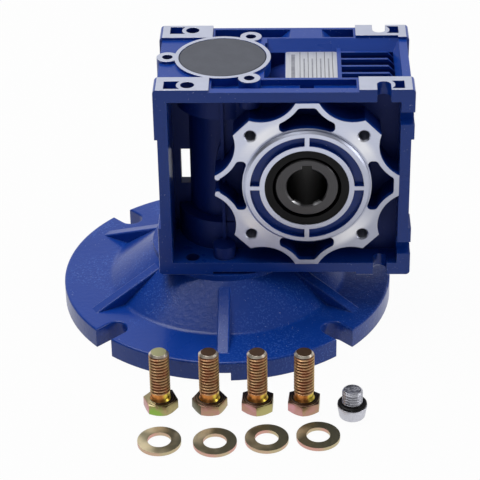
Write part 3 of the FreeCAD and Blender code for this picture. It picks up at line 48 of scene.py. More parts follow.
# %% [markdown]
# ## Arithmetic on sockets
# A finish is mostly arithmetic: how far a point lies from a face, how much noise to add, where one
# colour gives way to another. A small class that wraps one socket lets Python expressions build the
# Math nodes, so that a mask reads like the sentence that describes it.

# %% A wire
class Wire:
    """One output socket that can be added, multiplied and compared."""

    def __init__(self, finish, socket):
        self.finish, self.socket = finish, socket

    def math(self, operation, *others):
        settings = {"operation": operation}
        return self.finish.node("ShaderNodeMath", settings, dict(enumerate((self,) + others)))

    def __add__(self, other): return self.math("ADD", other)
    def __radd__(self, other): return self.math("ADD", other)
    def __mul__(self, other): return self.math("MULTIPLY", other)
    def __rmul__(self, other): return self.math("MULTIPLY", other)
    def __sub__(self, other): return self.math("SUBTRACT", other)
    def __rsub__(self, other): return (self * -1) + other
    def __truediv__(self, other): return self.math("DIVIDE", other)
    def __pow__(self, other): return self.math("POWER", other)
    def __abs__(self): return self.math("ABSOLUTE")
    def __lt__(self, other): return self.math("LESS_THAN", other)
    def __gt__(self, other): return self.math("GREATER_THAN", other)
    def __and__(self, other): return self.math("MINIMUM", other)
    def __or__(self, other): return self.math("MAXIMUM", other)

# %% [markdown]
# ## A finish
# A finish is a material whose nodes all come from one method: the node's type, then its settings,
# then the values or wires of its sockets. Places are read from Object coordinates in millimetres,
# because every mesh here lies in the frame of the whole object, so a mask can name a real height.

# %% A finish
class Finish:
    """A material and the few words that every finish here is written in."""

    def __init__(self, name, tree=None):
        self.material = bpy.data.materials.new(name) if tree is None else None
        if self.material:
            self.material.use_nodes = True
        self.tree = tree or self.material.node_tree
        self.tree.nodes.clear()
        self.spot = None  # the wires of at(), once they are made

    def node(self, kind, settings, values, output=0):
        made = self.tree.nodes.new(kind)
        for name, value in settings.items():
            if name == "stops":
                self.stops(made.color_ramp, value)
            else:
                setattr(made, name, value)
        for name, value in values.items():
            if isinstance(value, Wire):
                self.tree.links.new(value.socket, made.inputs[name])
            else:
                made.inputs[name].default_value = value
        return Wire(self, made.outputs[output]) if made.outputs else None

    @staticmethod
    def stops(ramp, wanted):
        while len(ramp.elements) < len(wanted):
            ramp.elements.new(0.5)
        for element, (place, colour) in zip(ramp.elements, wanted):
            element.position, element.color = place, colour

    def at(self):
        """The point's X, Y and Z in millimetres."""
        if self.spot is None:
            point = self.node("ShaderNodeTexCoord", {}, {}, "Object")
            self.spot = [self.node("ShaderNodeSeparateXYZ", {}, {0: point}, axis) * 1000
                         for axis in "XYZ"]
        return self.spot

    def noise(self, size, detail=2.0, stretch=(1, 1, 1)):
        """Noise from 0 to 1 with patches of about that many millimetres."""
        point = self.node("ShaderNodeTexCoord", {}, {}, "Object")
        moved = self.node("ShaderNodeMapping", {}, {"Vector": point, "Scale": stretch})
        return self.node("ShaderNodeTexNoise", {}, {
            "Vector": moved, "Scale": 1000 / size, "Detail": detail})

    def rings(self, place, detail):
        """Noise from 0 to 1 that changes only with this place, as the marks of a lathe do."""
        return self.node("ShaderNodeTexNoise", {"noise_dimensions": "1D"}, {
            "W": place, "Scale": 1.0, "Detail": detail})

    def ramp(self, value, low, high):
        """0 below low, 1 above high, smooth between."""
        return self.node("ShaderNodeMapRange", {"interpolation_type": "SMOOTHSTEP"},
                         {"Value": value, "From Min": low, "From Max": high})

    def blend(self, mask, first, second):
        """The second colour where the mask is 1. Sockets 6, 7 and 2 are this node's colours."""
        return self.node("ShaderNodeMix", {"data_type": "RGBA"}, {0: mask, 6: first, 7: second}, 2)

    def soft_edges(self, radius):
        """A normal that rounds sharp edges by this radius in millimetres."""
        return self.node("ShaderNodeBevel", {"samples": 4}, {"Radius": radius * MM})

    def lean(self, rounded):
        """How far the rounded normal leans away from the face: 0 on a flat, more on an edge."""
        face = self.node("ShaderNodeNewGeometry", {}, {}, "Normal")
        return 1 - self.node("ShaderNodeVectorMath", {"operation": "DOT_PRODUCT"},
                             {0: rounded, 1: face}, 1)

    def bump(self, height, depth, normal):
        """Raise the surface by the height, times that many millimetres."""
        return self.node("ShaderNodeBump", {}, {"Strength": 1.0, "Distance": depth * MM,
                                                "Height": height, "Normal": normal})

    def surface(self, **sockets):
        """End in a Principled shader with these sockets."""
        values = {name.replace("_", " ").title().replace("Ior", "IOR"): value
                  for name, value in sockets.items()}
        shader = self.node("ShaderNodeBsdfPrincipled", {}, values)
        self.node("ShaderNodeOutputMaterial", {}, {"Surface": shader})
        print("finish", self.material.name, "has", len(self.tree.nodes), "nodes")
        return self.material


def tint(red, green, blue):
    """A colour as a picture program writes it, made linear for the shader."""
    return tuple((level / 255 / 12.92 if level <= 10 else ((level / 255 + 0.055) / 1.055) ** 2.4)
                 for level in (red, green, blue)) + (1.0,)


def coat(piece, material):
    """Give the piece this material and no other."""
    piece.data.materials.clear()
    piece.data.materials.append(material)


def dress(material, *names):
    """Give the named solids this material."""
    for name in names:
        coat(nodes[name], material)

# %% [markdown]
# ## The stage
# A product picture of this kind is lit by large soft boxes above and behind, over white paper that
# burns out to white. The paper is a real plane, so that it keeps a light shadow and throws light
# back up. To the camera and to mirrors it shines as white paper, and a small share of it stays
# matt, which is what shows the shadow. The camera stands above and in front, far away with a long
# lens, at the angle that the edges of the square housing give.

# %% Floor
bpy.ops.object.select_all(action="DESELECT")
bpy.ops.mesh.primitive_plane_add(size=8, location=(0, 0, -0.0004))
floor = bpy.context.object
floor.name = "studio_floor"

paper = Finish("white_paper")
rays = [paper.node("ShaderNodeLightPath", {}, {}, kind)
        for kind in ("Is Camera Ray", "Is Glossy Ray", "Is Transmission Ray")]
seen = rays[0] | rays[1] | rays[2]
WHITE_SHARE = 0.965
matt = paper.node("ShaderNodeBsdfDiffuse", {}, {"Color": (0.62, 0.62, 0.62, 1)})
white = paper.node("ShaderNodeEmission", {}, {"Color": (1, 1, 1, 1), "Strength": 1.0})
mixed = paper.node("ShaderNodeMixShader", {}, {0: seen * WHITE_SHARE, 1: matt, 2: white})
paper.node("ShaderNodeOutputMaterial", {}, {"Surface": mixed})
floor.data.materials.append(paper.material)
print("floor at", floor.location.z)

# %% Room
world = bpy.data.worlds.new("studio")
bpy.context.scene.world = world
world.use_nodes = True
room = Finish("room", world.node_tree)
toward = room.node("ShaderNodeTexCoord", {}, {}, "Generated")
across, away, up = [room.node("ShaderNodeSeparateXYZ", {}, {0: toward}, axis) for axis in "XYZ"]
behind = room.ramp(away, 0.25, 0.95)
left_side = room.ramp(across * -1, 0.15, 0.65)
overhead = room.ramp(up, 0.55, 0.95)
brightness = 0.05 + behind * (0.76 + 0.16 * left_side) + 0.30 * overhead
camera_ray = room.node("ShaderNodeLightPath", {}, {}, "Is Camera Ray")
background = room.node("ShaderNodeBackground", {}, {
    "Color": (1, 1, 1, 1), "Strength": brightness | camera_ray})
room.node("ShaderNodeOutputWorld", {}, {"Surface": background})
print("room with", len(world.node_tree.nodes), "nodes")

# %% Lamps
def softbox(name, place, target, size, power):
    """A square area lamp that looks at the target."""
    lamp = bpy.data.lights.new(name, "AREA")
    lamp.size, lamp.energy = size, power
    stand = bpy.data.objects.new(name, lamp)
    bpy.context.scene.collection.objects.link(stand)
    stand.location = place
    stand.rotation_euler = (Vector(target) - Vector(place)).to_track_quat("-Z", "Y").to_euler()
    return stand


MIDDLE = (0.02, -0.02, 0.06)
lamps = [softbox("key", (-0.35, 0.15, 1.35), MIDDLE, 0.9, 12.0),
         softbox("right_side", (1.2, -0.25, 0.45), MIDDLE, 0.6, 4.2),
         softbox("front_fill", (-0.5, -1.5, 0.9), MIDDLE, 0.8, 0.6)]
print("lamps of", [lamp.data.energy for lamp in lamps], "watts")

# %% Camera
STAND = (0.03278, -0.8105, 0.5172)
yaw, pitch, roll = -0.0321, 0.5427, -0.0180
ahead = Vector((math.sin(yaw) * math.cos(pitch), math.cos(yaw) * math.cos(pitch), -math.sin(pitch)))
level = Vector((math.cos(yaw), -math.sin(yaw), 0))
above = level.cross(ahead)
right = level * math.cos(roll) + above * math.sin(roll)
upward = above * math.cos(roll) - level * math.sin(roll)
view = bpy.data.cameras.new("view")
view.sensor_width, view.lens = 36, 140.937
view.clip_start, view.clip_end = 0.05, 20
camera = bpy.data.objects.new("view", view)
turned_frame = Matrix((right, upward, -ahead)).transposed().to_4x4()
camera.matrix_world = Matrix.Translation(STAND) @ turned_frame
bpy.context.scene.collection.objects.link(camera)
bpy.context.scene.camera = camera
bpy.context.scene.view_settings.view_transform = "Standard"
print("camera at", tuple(camera.location))

# %% [markdown]
# ## Blue paint over cast aluminium
# The castings are painted all over and machined afterwards, so bare metal shows exactly on the
# faces that meet other parts: the feet, the star faces, the centring rings and the tapped holes.
# One material can hold both, because a machined face is known by its height in the frame. So the
# first step is a mask: 1 where a cutter has been, 0 where the paint is left.

# %% Where metal is bare
OUTPUT_X, OUTPUT_Z = 40.0, 80.0
STAR_FACE, RING_FACE = 36.5, 39  # from the middle plane, on both sides
RING_INSIDE, RING_OUTSIDE, SEAL_SEAT = 28.9, 30.3, 20.4  # radii about the output axis
TAP_OFFSET = 26.517  # a tapped hole from the output axis, both across and up
FEET_TOP, FEET_BASE, FEET_RIGHT, FEET_LEFT = 130, 30, 90, -31.5


def near(value, level, width=0.09):
    """1 where the value lies within the width of the level."""
    return abs(value - level) < width


def any_of(first, *others):
    """1 where any of the masks is 1."""
    for other in others:
        first = first | other
    return first


def reach(first, second):
    """Distance in a plane from two offsets."""
    return (first * first + second * second) ** 0.5


def machined(finish):
    """1 on the faces and in the holes that are cut after painting."""
    x, y, z = finish.at()
    side = abs(y)
    from_output = reach(x - OUTPUT_X, z - OUTPUT_Z)
    star = near(side, STAR_FACE) & (from_output > 29.5)
    feet = any_of(near(z, FEET_TOP), near(z, FEET_BASE), near(x, FEET_RIGHT),
                  near(x, FEET_LEFT) & (side > 12))
    flat = any_of(feet, star, near(side, RING_FACE))
    ring = (from_output > RING_INSIDE) & (from_output < RING_OUTSIDE) & (side > STAR_FACE + 0.1)
    seal_seat = (from_output < SEAL_SEAT) & (side > 29)
    tap = reach(abs(x - OUTPUT_X) - TAP_OFFSET, abs(z - OUTPUT_Z) - TAP_OFFSET) < 3.3
    return any_of(flat, ring, seal_seat, tap & (side > 20))


print("tapped holes on a circle of", round(TAP_OFFSET * math.sqrt(8), 1), "mm")

# %% [markdown]
# ## Threads in the holes, and the room inside the frame
# The holes of the star faces and of the cap's three lugs are tapped. A thread inside a small hole
# is seen only as fine turns of light, so here it is a height for the bump: a sine that climbs one
# pitch for each turn round the hole. The metal in the star's holes is a darker grey, painted shade.
# Inside the square frame and in its painted holes the blue is darker, also painted shade, and less
# glossy, which needs one more mask.

# %% Threads and the room inside
LUG_CIRCLE, LUG_HOLE = 26.3, 2.7  # the lug holes: distance from the worm axis, and radius
FOOT_HOLE_X, FOOT_HOLE_Y, FOOT_HOLE = -15.5, 30, 3.4
ROOM_X, ROOM_Z = 29.25, 80  # the middle of the room inside the frame


def threaded(first, second, along, pitch):
    """Height of a thread in a hole, from two offsets across its axis and one along it."""
    turn = first.math("ARCTAN2", second) / math.tau
    return ((along / pitch + turn) * math.tau).math("SINE")


def lug_offsets(x, y):
    """The offsets from the axis of each of the three lug holes."""
    for turn in (math.radians(60), math.radians(180), math.radians(300)):
        yield x - LUG_CIRCLE * math.cos(turn), y - LUG_CIRCLE * math.sin(turn)


def taps(finish):
    """1 inside the tapped holes of the star faces, and the height of all threads."""
    x, y, z = finish.at()
    side = abs(y)
    across, over = abs(x - OUTPUT_X) - TAP_OFFSET, abs(z - OUTPUT_Z) - TAP_OFFSET
    star_tap = (reach(across, over) < 2.6) & (side > 20) & (side < 36)
    height = threaded(across, over, y, 1.0) * star_tap
    for across, over in lug_offsets(x, y):
        lug_tap = (reach(across, over) < LUG_HOLE) & (z > 117) & (z < 129.8)
        height = height + threaded(across, over, z, 1.0) * lug_tap
    return star_tap, height


def shade_inside_frame(finish):
    """1 inside the square frame and in its painted holes, where the blue is darkened as painted
    shade and the coat is less glossy.
    """
    x, y, z = finish.at()
    room = (abs(y) < 33.4) & (abs(x - ROOM_X) < 54.2) & (abs(z - ROOM_Z) < 43.45)
    foot = (reach(x - FOOT_HOLE_X, abs(y) - FOOT_HOLE_Y) < FOOT_HOLE) & (abs(z - ROOM_Z) < 49.7)
    lug = any_of(*[reach(across, over) < LUG_HOLE for across, over in lug_offsets(x, y)])
    return any_of(room, foot, lug & (z > 117) & (z < 129.7))


print("three lug holes,", LUG_CIRCLE, "mm from the worm axis")

# %% [markdown]
# ## The coat and the metal under it
# The paint is a deep gloss blue with the fine ripple of a sprayed coat, paler on sharp edges as a
# painted highlight, partly where the coat thins, with a few specks of dust. The bare metal is
# bright and faintly brushed, darker towards the lower right of the star as painted shade, with two
# painted glints on the turned band beside the ring. A rounded edge would cost many faces on a
# casting like this, so the edges are rounded in the normal alone, and the same normal tells where
# an edge is.

# %% The housing's finish
BLUE, BLUE_PALE, BLUE_EDGE_HIGHLIGHT = tint(10, 56, 146), tint(15, 67, 165), tint(104, 134, 204)
DUST, BLUE_SHADE, BLUE_PEEL_GLINT = tint(170, 186, 226), tint(6, 20, 88), tint(66, 108, 198)
METAL, METAL_PALE, METAL_SHADE = tint(192, 197, 217), tint(218, 223, 241), tint(142, 144, 158)
GLINT, TAPPED_SHADE = tint(250, 250, 252), tint(158, 161, 174)


def painted(name, bare_mask, ripple, holes=None, painted_shade_mask=None, peel_glint_share=0.0):
    """Gloss blue paint, with bare metal where the mask is 1."""
    finish = Finish(name)
    x, y, z = finish.at()
    normal = finish.soft_edges(0.45)
    bare = bare_mask(finish)
    patches = finish.noise(34, 3)
    blue = finish.blend(patches, BLUE, BLUE_PALE)
    # painted highlight, partly thin paint: the blue turns paler along rounded edges
    edge = finish.ramp(finish.lean(normal), 0.03, 0.30)
    edge = edge * finish.ramp(finish.noise(1.6, 3), 0.35, 0.65)
    blue = finish.blend(edge * 0.6, blue, BLUE_EDGE_HIGHLIGHT)
    specks = (finish.noise(0.75, 1) > 0.755) * (finish.noise(22, 2) > 0.52)
    blue = finish.blend(specks * 0.65, blue, DUST)
    # painted shade: darker blue inside the square frame and in its painted holes, with less gloss
    # there
    painted_shade = painted_shade_mask(finish) if painted_shade_mask else 0.0
    if painted_shade_mask:
        blue = finish.blend(painted_shade * 0.66, blue, BLUE_SHADE)
    if peel_glint_share:
        # painted sheen: paler blue speckle in patches, where the ripple would catch the light
        peel_glint = finish.ramp(finish.noise(0.9, 1), 0.54, 0.66)
        peel_glint = peel_glint * finish.ramp(finish.noise(26, 2), 0.45, 0.62)
        blue = finish.blend(peel_glint * peel_glint_share, blue, BLUE_PEEL_GLINT)
    lay = finish.noise(0.5, 3, (0.06, 1, 1)) * 0.5 + finish.noise(7, 4) * 0.5
    metal = finish.blend(lay, METAL, METAL_PALE)
    across, over, in_front = x - OUTPUT_X, z - OUTPUT_Z, y < -36
    # painted shade: the bare star face turns darker grey towards its lower right
    painted_star_shade = finish.ramp(across - over + finish.noise(16, 3) * 30, -10, 85) * in_front
    metal = finish.blend(painted_star_shade * 0.75, metal, METAL_SHADE)
    circle = reach(across, over)
    turn = over.math("ARCTAN2", across)
    glint = (abs((turn - math.radians(128)).math("COSINE")) ** 14
             + abs((turn - math.radians(38)).math("COSINE")) ** 30)
    band = finish.ramp(circle, 30.4, 31.5) * finish.ramp(circle, 38, 34) * in_front
    metal = finish.blend(glint * band * 0.7, metal, GLINT)
    marks = finish.rings(circle * 4.0, 2.0) * (abs(y) > 36)
    cast = finish.noise(2.6, 3) * 0.75 + finish.noise(0.8, 2) * 0.25
    relief = cast * (1 - bare) * ripple + (lay * 0.02 + marks * 0.03) * bare
    if holes:
        # painted shade: darker grey metal inside the star's tapped holes
        inside, height = holes(finish)
        metal = finish.blend(inside, metal, TAPPED_SHADE)
        relief = relief + height * 0.16
    gloss = 0.24 + 0.10 * patches + 0.22 * painted_shade
    return finish.surface(
        base_color=finish.blend(bare, blue, metal), metallic=bare,
        roughness=(1 - bare) * gloss + bare * (0.30 + 0.18 * lay),
        specular_ior_level=0.28, coat_weight=(1 - bare) * (1 - painted_shade) * 0.12, coat_roughness=0.12,
        normal=finish.bump(relief, 1.0, normal))


casting_paint = painted("casting_blue", machined, 0.07, taps, shade_inside_frame)
dress(casting_paint, "housing", "side_cover")

# %% [markdown]
# ## The bell
# The bell is the same casting and paint, with a coarser ripple where the spray lay thick on the
# cone, and paler blue speckle in patches as a painted sheen of that ripple. Only its underside,
# which meets the motor, is bare.

# %% The bell's finish
def bell_bare(finish):
    """1 on the underside and on the wall of the register that centres the motor."""
    x, y, z = finish.at()
    return near(z, 0) | ((reach(x, y) < 57.3) & (z < 4.6))


dress(painted("bell_blue", bell_bare, 0.16, peel_glint_share=0.5), "motor_bell")

# %% [markdown]
# ## Steel
# The hollow shaft is ground and dark with oil, and the light draws rings round it, because it was
# turned: its ripple is a noise of the distance from its own axis. At the mouth of its bore two
# short glints are painted on the chamfer, and inside the bore the colour is painted dark as painted
# shade.
# Turned pieces are paler on their edges, a painted highlight. Bearings are bright, screws are
# blackened, and the wheel's rim is bronze.

# %% Turned steel
def turned(name, dark, light, rough, about="worm", lay=0.02, bore=None):
    """Metal turned about the output axis, which lies along Y, or the worm's, which lies along Z."""
    finish = Finish(name)
    x, y, z = finish.at()
    across, over, along = (x - OUTPUT_X, z - OUTPUT_Z, y) if about == "output" else (x, y, z)
    normal = finish.soft_edges(0.3)
    away = reach(across, over)
    rings = finish.rings(away * 3.1 + along * 2.7, 3.0)
    stain = finish.noise(9, 3)
    colour = finish.blend(rings * 0.6 + stain * 0.4, dark, light)
    if bore:
        # painted shade: dark inside the bore; below, two painted glints on the chamfer at its mouth
        colour = finish.blend(away < bore, colour, tint(30, 29, 28))
        turn = over.math("ARCTAN2", across)
        glint = finish.ramp(abs((turn + math.pi / 2).math("SINE")), 0.25, 0.45) * (over < -7.4)
        lip = near(away, bore + 0.25, 0.4) * glint * (y < -36)
        colour = finish.blend(lip, colour, tint(236, 236, 240))
    # painted highlight: paler along rounded edges
    edge = finish.ramp(finish.lean(normal), 0.03, 0.25)
    colour = finish.blend(edge * 0.5, colour, tint(190, 188, 186))
    return finish.surface(base_color=colour, metallic=1.0, roughness=rough + 0.12 * stain,
                          normal=finish.bump(rings, lay, normal))


shaft_steel = turned("oiled_steel", tint(47, 47, 49), tint(96, 95, 97), 0.28, "output", bore=9.65)
dress(shaft_steel, "output_shaft")
dress(turned("worm_steel", tint(96, 94, 92), tint(150, 148, 146), 0.25), "worm", "circlip")
bright = turned("bearing_bright", tint(176, 178, 184), tint(208, 210, 216), 0.14, lay=0.004)
dress(bright, *[name for name in nodes if "bearing" in name])
bronze = turned("wheel_bronze", tint(168, 118, 58), tint(206, 158, 88), 0.32, "output")
dress(bronze, "bronze_rim")
dress(turned("plug_aluminium", tint(198, 199, 204), tint(226, 227, 232), 0.30), "filler_plug")
blackened = turned("black_oxide", tint(30, 30, 32), tint(52, 52, 55), 0.35)
dress(blackened, "cover_screws", "bell_screws")

# %% [markdown]
# ## Rubber, cap and label plate
# The seals are matt black with a faint bloom. The cap over the worm bearing is pressed steel under
# grey paint. The label plate is thin foil with plain ruled lines and a few plain grey bars.

# %% Rubber
def moulded(name, colour, pale, rough, grain, depth, shine=0.5):
    """A matt moulded or painted skin with fine grain."""
    finish = Finish(name)
    normal = finish.soft_edges(0.35)
    bloom = finish.noise(6, 4)
    fine = finish.noise(grain, 3)
    skin = finish.blend(finish.ramp(bloom, 0.3, 0.8) * 0.5 + fine * 0.2, colour, pale)
    # painted highlight: paler along rounded edges
    skin = finish.blend(finish.ramp(finish.lean(normal), 0.03, 0.3) * 0.35, skin, pale)
    return finish.surface(base_color=skin, roughness=rough + 0.1 * bloom, specular_ior_level=shine,
                          normal=finish.bump(fine, depth, normal))


rubber = moulded("seal_rubber", tint(12, 12, 13), tint(32, 32, 35), 0.36, 0.7, 0.02, 0.16)
dress(rubber, *[name for name in nodes if "seal" in name or "o_ring" in name])
dress(moulded("cap_grey", tint(64, 68, 80), tint(82, 86, 98), 0.42, 1.1, 0.03), "worm_end_cap")

# %% Label plate
RULES = (36.9, 40.8, 44.8, 48.7, 52.5)
BARS = (38.9, 42.8, 46.8, 50.6)


def plate_foil():
    """Silver foil, ruled across into six columns."""
    finish = Finish("label_foil")
    x, y, _ = finish.at()
    normal = finish.soft_edges(0.2)
    rules = any_of(*[near(x, place, 0.16) for place in RULES])
    heading = near(x, 33.6, 0.9) & (abs(y) < 14.5)
    bars = any_of(heading, *[near(x, place, 0.35) & (abs(y + 2) < 12) for place in BARS])
    inside = abs(y) < 17.2
    brushed = finish.noise(0.6, 3, (1, 0.05, 1))
    foil = finish.blend(brushed, tint(196, 198, 206), tint(226, 228, 234))
    foil = finish.blend(rules * inside * 0.85, foil, tint(48, 50, 66))
    foil = finish.blend(bars * (0.35 + 0.4 * finish.noise(2.2, 2)), foil, tint(70, 72, 92))
    return finish.surface(base_color=foil, metallic=0.75, roughness=0.34 + 0.1 * brushed,
                          normal=finish.bump(brushed, 0.01, normal))


dress(plate_foil(), "label_plate")

# %% [markdown]
# ## Yellow zinc
# The motor bolts and washers are zinc plated and chromated. The film is so thin that its colour
# changes with its depth: rose, olive or green on the flats of the heads, and warm brown on the
# threads, darker in the grooves between the crests. So each zone of a bolt has its own hue, and a
# slow noise drifts between the hues inside a zone. Light is painted in too: an orange reflection on
# the necks, gold highlights on thread faces turned right, and a sheen on the left of each washer.

# %% Zones of the bolts
BOLT_PLACES = ((-28.0, -8), (-5.3, 3), (16.9, 27), (38.4, 25))  # x, and the turn in degrees
BOLT_ROW, HEAD_HIGH, BOLT_HIGH = -103.9, 5.9, 31.3
FILM = [(0.15, tint(104, 100, 76)), (0.38, tint(168, 154, 106)), (0.58, tint(176, 134, 118)),
        (0.80, tint(200, 146, 150)), (1.00, tint(186, 158, 168))]


def facing(finish):
    """How far the face looks to the left, to the front and up."""
    face = finish.node("ShaderNodeNewGeometry", {}, {}, "Normal")
    left, front, up = [finish.node("ShaderNodeSeparateXYZ", {}, {0: face}, axis) for axis in "XYZ"]
    return left * -1, front * -1, up


def least_of(first, *others):
    """The least of the wires."""
    for other in others:
        first = first & other
    return first


def from_bolt_axis(finish):
    """Distance from the axis of the nearest bolt."""
    x, y, _ = finish.at()
    return least_of(*[reach(x - place, y - BOLT_ROW) for place, _ in BOLT_PLACES])


print(len(BOLT_PLACES), "bolts,", BOLT_HIGH, "mm high with their heads")

# %% Film on the heads
def head_film(finish, radius, drift):
    """Rose, olive and green flats, and a darker top with faint turned rings."""
    x, _, z = finish.at()
    left, front, up = facing(finish)
    depth = drift * 0.7 + left * 0.22 + 0.22
    hues = finish.node("ShaderNodeValToRGB", {"stops": FILM}, {"Fac": depth})
    green = near(x, -28.6, 5) & (front > 0.8)
    olive = near(x, 20, 6) & (front > 0.5) & (left < 0)
    dark_flat = near(x, -12, 3.6) & (left > 0.5)
    colour = finish.blend(green * finish.ramp(drift, 0.25, 0.6), hues, tint(138, 172, 78))
    colour = finish.blend(olive * finish.ramp(drift, 0.2, 0.5), colour, tint(176, 168, 112))
    colour = finish.blend(dark_flat, colour, tint(96, 90, 66))
    top = (up > 0.5) & (z < HEAD_HIGH + 0.3)
    rings = finish.ramp((radius * 5).math("SINE"), -1, 1)
    shade = finish.blend(x < -30, tint(62, 54, 38), tint(158, 150, 112))
    return finish.blend(top * (0.75 + 0.25 * rings), colour, shade)


print("the film on a flat runs through", len(FILM), "hues")

# %% Film on the threads
THREAD_CORE, THREAD_CREST, THREAD_PITCH, LEAD = 3.86, 4.76, 1.5875, 1.2


def thread_film(finish, radius, drift):
    """Brown grooves between paler crests, greenish to the left and a gold painted highlight to the
    right.
    """
    left, _, _ = facing(finish)
    groove = finish.ramp(radius, THREAD_CREST - 0.14, THREAD_CORE + 0.09)
    colour = finish.blend(groove, tint(214, 172, 128), tint(84, 46, 30))
    rusty = finish.ramp(finish.noise(4, 2), 0.42, 0.62)
    colour = finish.blend(rusty * 0.5, colour, tint(172, 98, 72))
    greenish = finish.ramp(left, 0.55, 0.95) * finish.ramp(drift, 0.4, 0.6)
    colour = finish.blend(greenish, colour, tint(150, 166, 92))
    # painted highlight: bright gold on faces turned right
    return finish.blend(finish.ramp(left, -0.5, -0.9) * 0.7, colour, tint(236, 216, 128))


print("the thread is", round(THREAD_CREST - THREAD_CORE, 2), "mm deep")

# %% Chromated bolts
def chromated_bolts():
    """Rose and green heads, a neck with a painted orange reflection turning to a gold painted
    highlight on the right, a brown thread and a pale lead-in.
    """
    finish = Finish("chromated_bolts")
    x, _, z = finish.at()
    left, _, up = facing(finish)
    normal = finish.soft_edges(0.12)
    drift = finish.noise(6, 3)
    radius = from_bolt_axis(finish)
    thread_zone = (z > 10) & (radius < 5)
    neck_zone = (z > HEAD_HIGH + 0.2) & (z < 10) & (radius < 5.6)
    lead_zone = (z > BOLT_HIGH - 1.4) & (up > 0.2)
    tip_zone = (z > BOLT_HIGH - 0.1) & (up > 0.9)
    # painted reflection: an orange neck, turning gold as a painted highlight on faces turned right
    neck = finish.blend(finish.ramp(left, -0.2, -0.6), tint(206, 134, 70), tint(226, 200, 80))
    tip = finish.blend(x < -20, tint(146, 114, 90), tint(186, 184, 140))
    colour = head_film(finish, radius, drift)
    colour = finish.blend(thread_zone, colour, thread_film(finish, radius, drift))
    colour = finish.blend(neck_zone, colour, neck)
    colour = finish.blend(lead_zone, colour, tint(232, 220, 204))
    colour = finish.blend(tip_zone, colour, tip)
    edge = finish.ramp(finish.lean(normal), 0.04, 0.3)
    colour = finish.blend(edge * 0.5, colour, tint(226, 206, 176))
    return finish.surface(
        base_color=colour, metallic=1.0, roughness=0.26 + 0.14 * finish.noise(0.7, 3),
        normal=finish.bump(finish.noise(0.6, 2), 0.015, normal))


zinc = chromated_bolts()
dress(zinc, "motor_bolts")

# %% Chromated washers
def chromated_washers():
    """Olive grey flats with paler gold patches and a painted sheen on the left of each washer, and
    rose rims.
    """
    finish = Finish("chromated_washers")
    x, _, _ = finish.at()
    _, _, up = facing(finish)
    normal = finish.soft_edges(0.2)
    drift = finish.noise(15, 2)
    local = (x + 39.2).math("MODULO", 24.0) - 12
    # pale gold in patches, and a painted sheen on the left of each washer and of the row
    pale = finish.ramp(drift - local * 0.022 - x * 0.0025, 0.46, 0.74)
    flat = finish.blend(pale, tint(124, 120, 98), tint(228, 214, 178))
    rim = finish.blend(finish.ramp(drift, 0.4, 0.6), tint(206, 158, 146), tint(190, 176, 140))
    colour = finish.blend(finish.ramp(up, 0.8, 0.5), flat, rim)
    fine = finish.noise(0.5, 3, (1, 0.1, 1))
    return finish.surface(base_color=colour, metallic=1.0, roughness=0.30 + 0.14 * fine,
                          normal=finish.bump(fine, 0.012, normal))


dress(chromated_washers(), "motor_washers")

# %% [markdown]
# ## Modelling helpers
# The threaded pieces are modelled the way a hand would: a primitive at its size and place, shaped
# in edit mode, then finished with modifiers. A few short helpers keep that readable. begin() names
# the new primitive and moves its place into its mesh, pick() opens edit mode with the faces or
# edges selected that lie in a given place, done() closes it, and modify() applies a modifier at
# once.

# %% Helpers for modelling
def begin(name):
    """Name the new primitive and put its place into its mesh."""
    piece = bpy.context.object
    piece.name = piece.data.name = name
    bpy.ops.object.transform_apply(location=True, rotation=True, scale=True)
    return piece


def alone(piece):
    """Make this the one selected and active object."""
    bpy.ops.object.select_all(action="DESELECT")
    piece.select_set(True)
    bpy.context.view_layer.objects.active = piece


def pick(piece, kind, test):
    """Go to edit mode with the elements selected whose middle passes the test."""
    alone(piece)
    bpy.ops.object.mode_set(mode="EDIT")
    bpy.ops.mesh.select_mode(type=kind)
    bpy.ops.mesh.select_all(action="DESELECT")
    bpy.ops.object.mode_set(mode="OBJECT")
    mesh = piece.data
    for item in mesh.polygons if kind == "FACE" else mesh.edges:
        places = [mesh.vertices[index].co / MM for index in item.vertices]
        item.select = test(sum(places, Vector()) / len(places))
    bpy.ops.object.mode_set(mode="EDIT")


def done():
    """Leave edit mode."""
    bpy.ops.object.mode_set(mode="OBJECT")


def modify(piece, kind, **settings):
    """Add a modifier, set it and apply it."""
    alone(piece)
    made = piece.modifiers.new(kind.title(), kind)
    for name, value in settings.items():
        setattr(made, name, value)
    bpy.ops.object.modifier_apply(modifier=made.name)


def disc(name, radius, low, high, sides=64, taper=None):
    """A round bar on the Z axis; with a taper its lower end has that other radius."""
    bpy.ops.object.select_all(action="DESELECT")
    bpy.ops.mesh.primitive_cone_add(
        vertices=sides, radius1=(taper or radius) * MM, radius2=radius * MM,
        depth=(high - low) * MM, location=(0, 0, (low + high) / 2 * MM))
    return begin(name)


def soften(piece, width, segments, angle):
    """Bevel the edges that are sharper than the angle."""
    modify(piece, "BEVEL", width=width * MM, segments=segments, limit_method="ANGLE",
           angle_limit=math.radians(angle))


def cut(piece, tool, operation):
    """Cut the piece with the tool, and put the tool away."""
    modify(piece, "BOOLEAN", operation=operation, object=tool, solver="EXACT")
    bpy.data.objects.remove(tool)


def place_at(piece, x, y, z=0.0, turn=0.0):
    """Turn the mesh about the Z axis and move it, with the object left at the origin."""
    piece.data.transform(Matrix.Translation((x * MM, y * MM, z * MM))
                         @ Matrix.Rotation(math.radians(turn), 4, "Z"))


# %% [markdown]
# ## A cut thread
# A thread is one tooth that climbs round a bar. Its outline is one pitch high and three edges long:
# up the lower flank, along the crest and back down. The Screw modifier climbs it round the axis for
# all turns, two flat cuts make the ends level, and a turned blank takes off what a lathe would: the
# lead-in at the tip. That is closer to the real thing than a stack of rings.

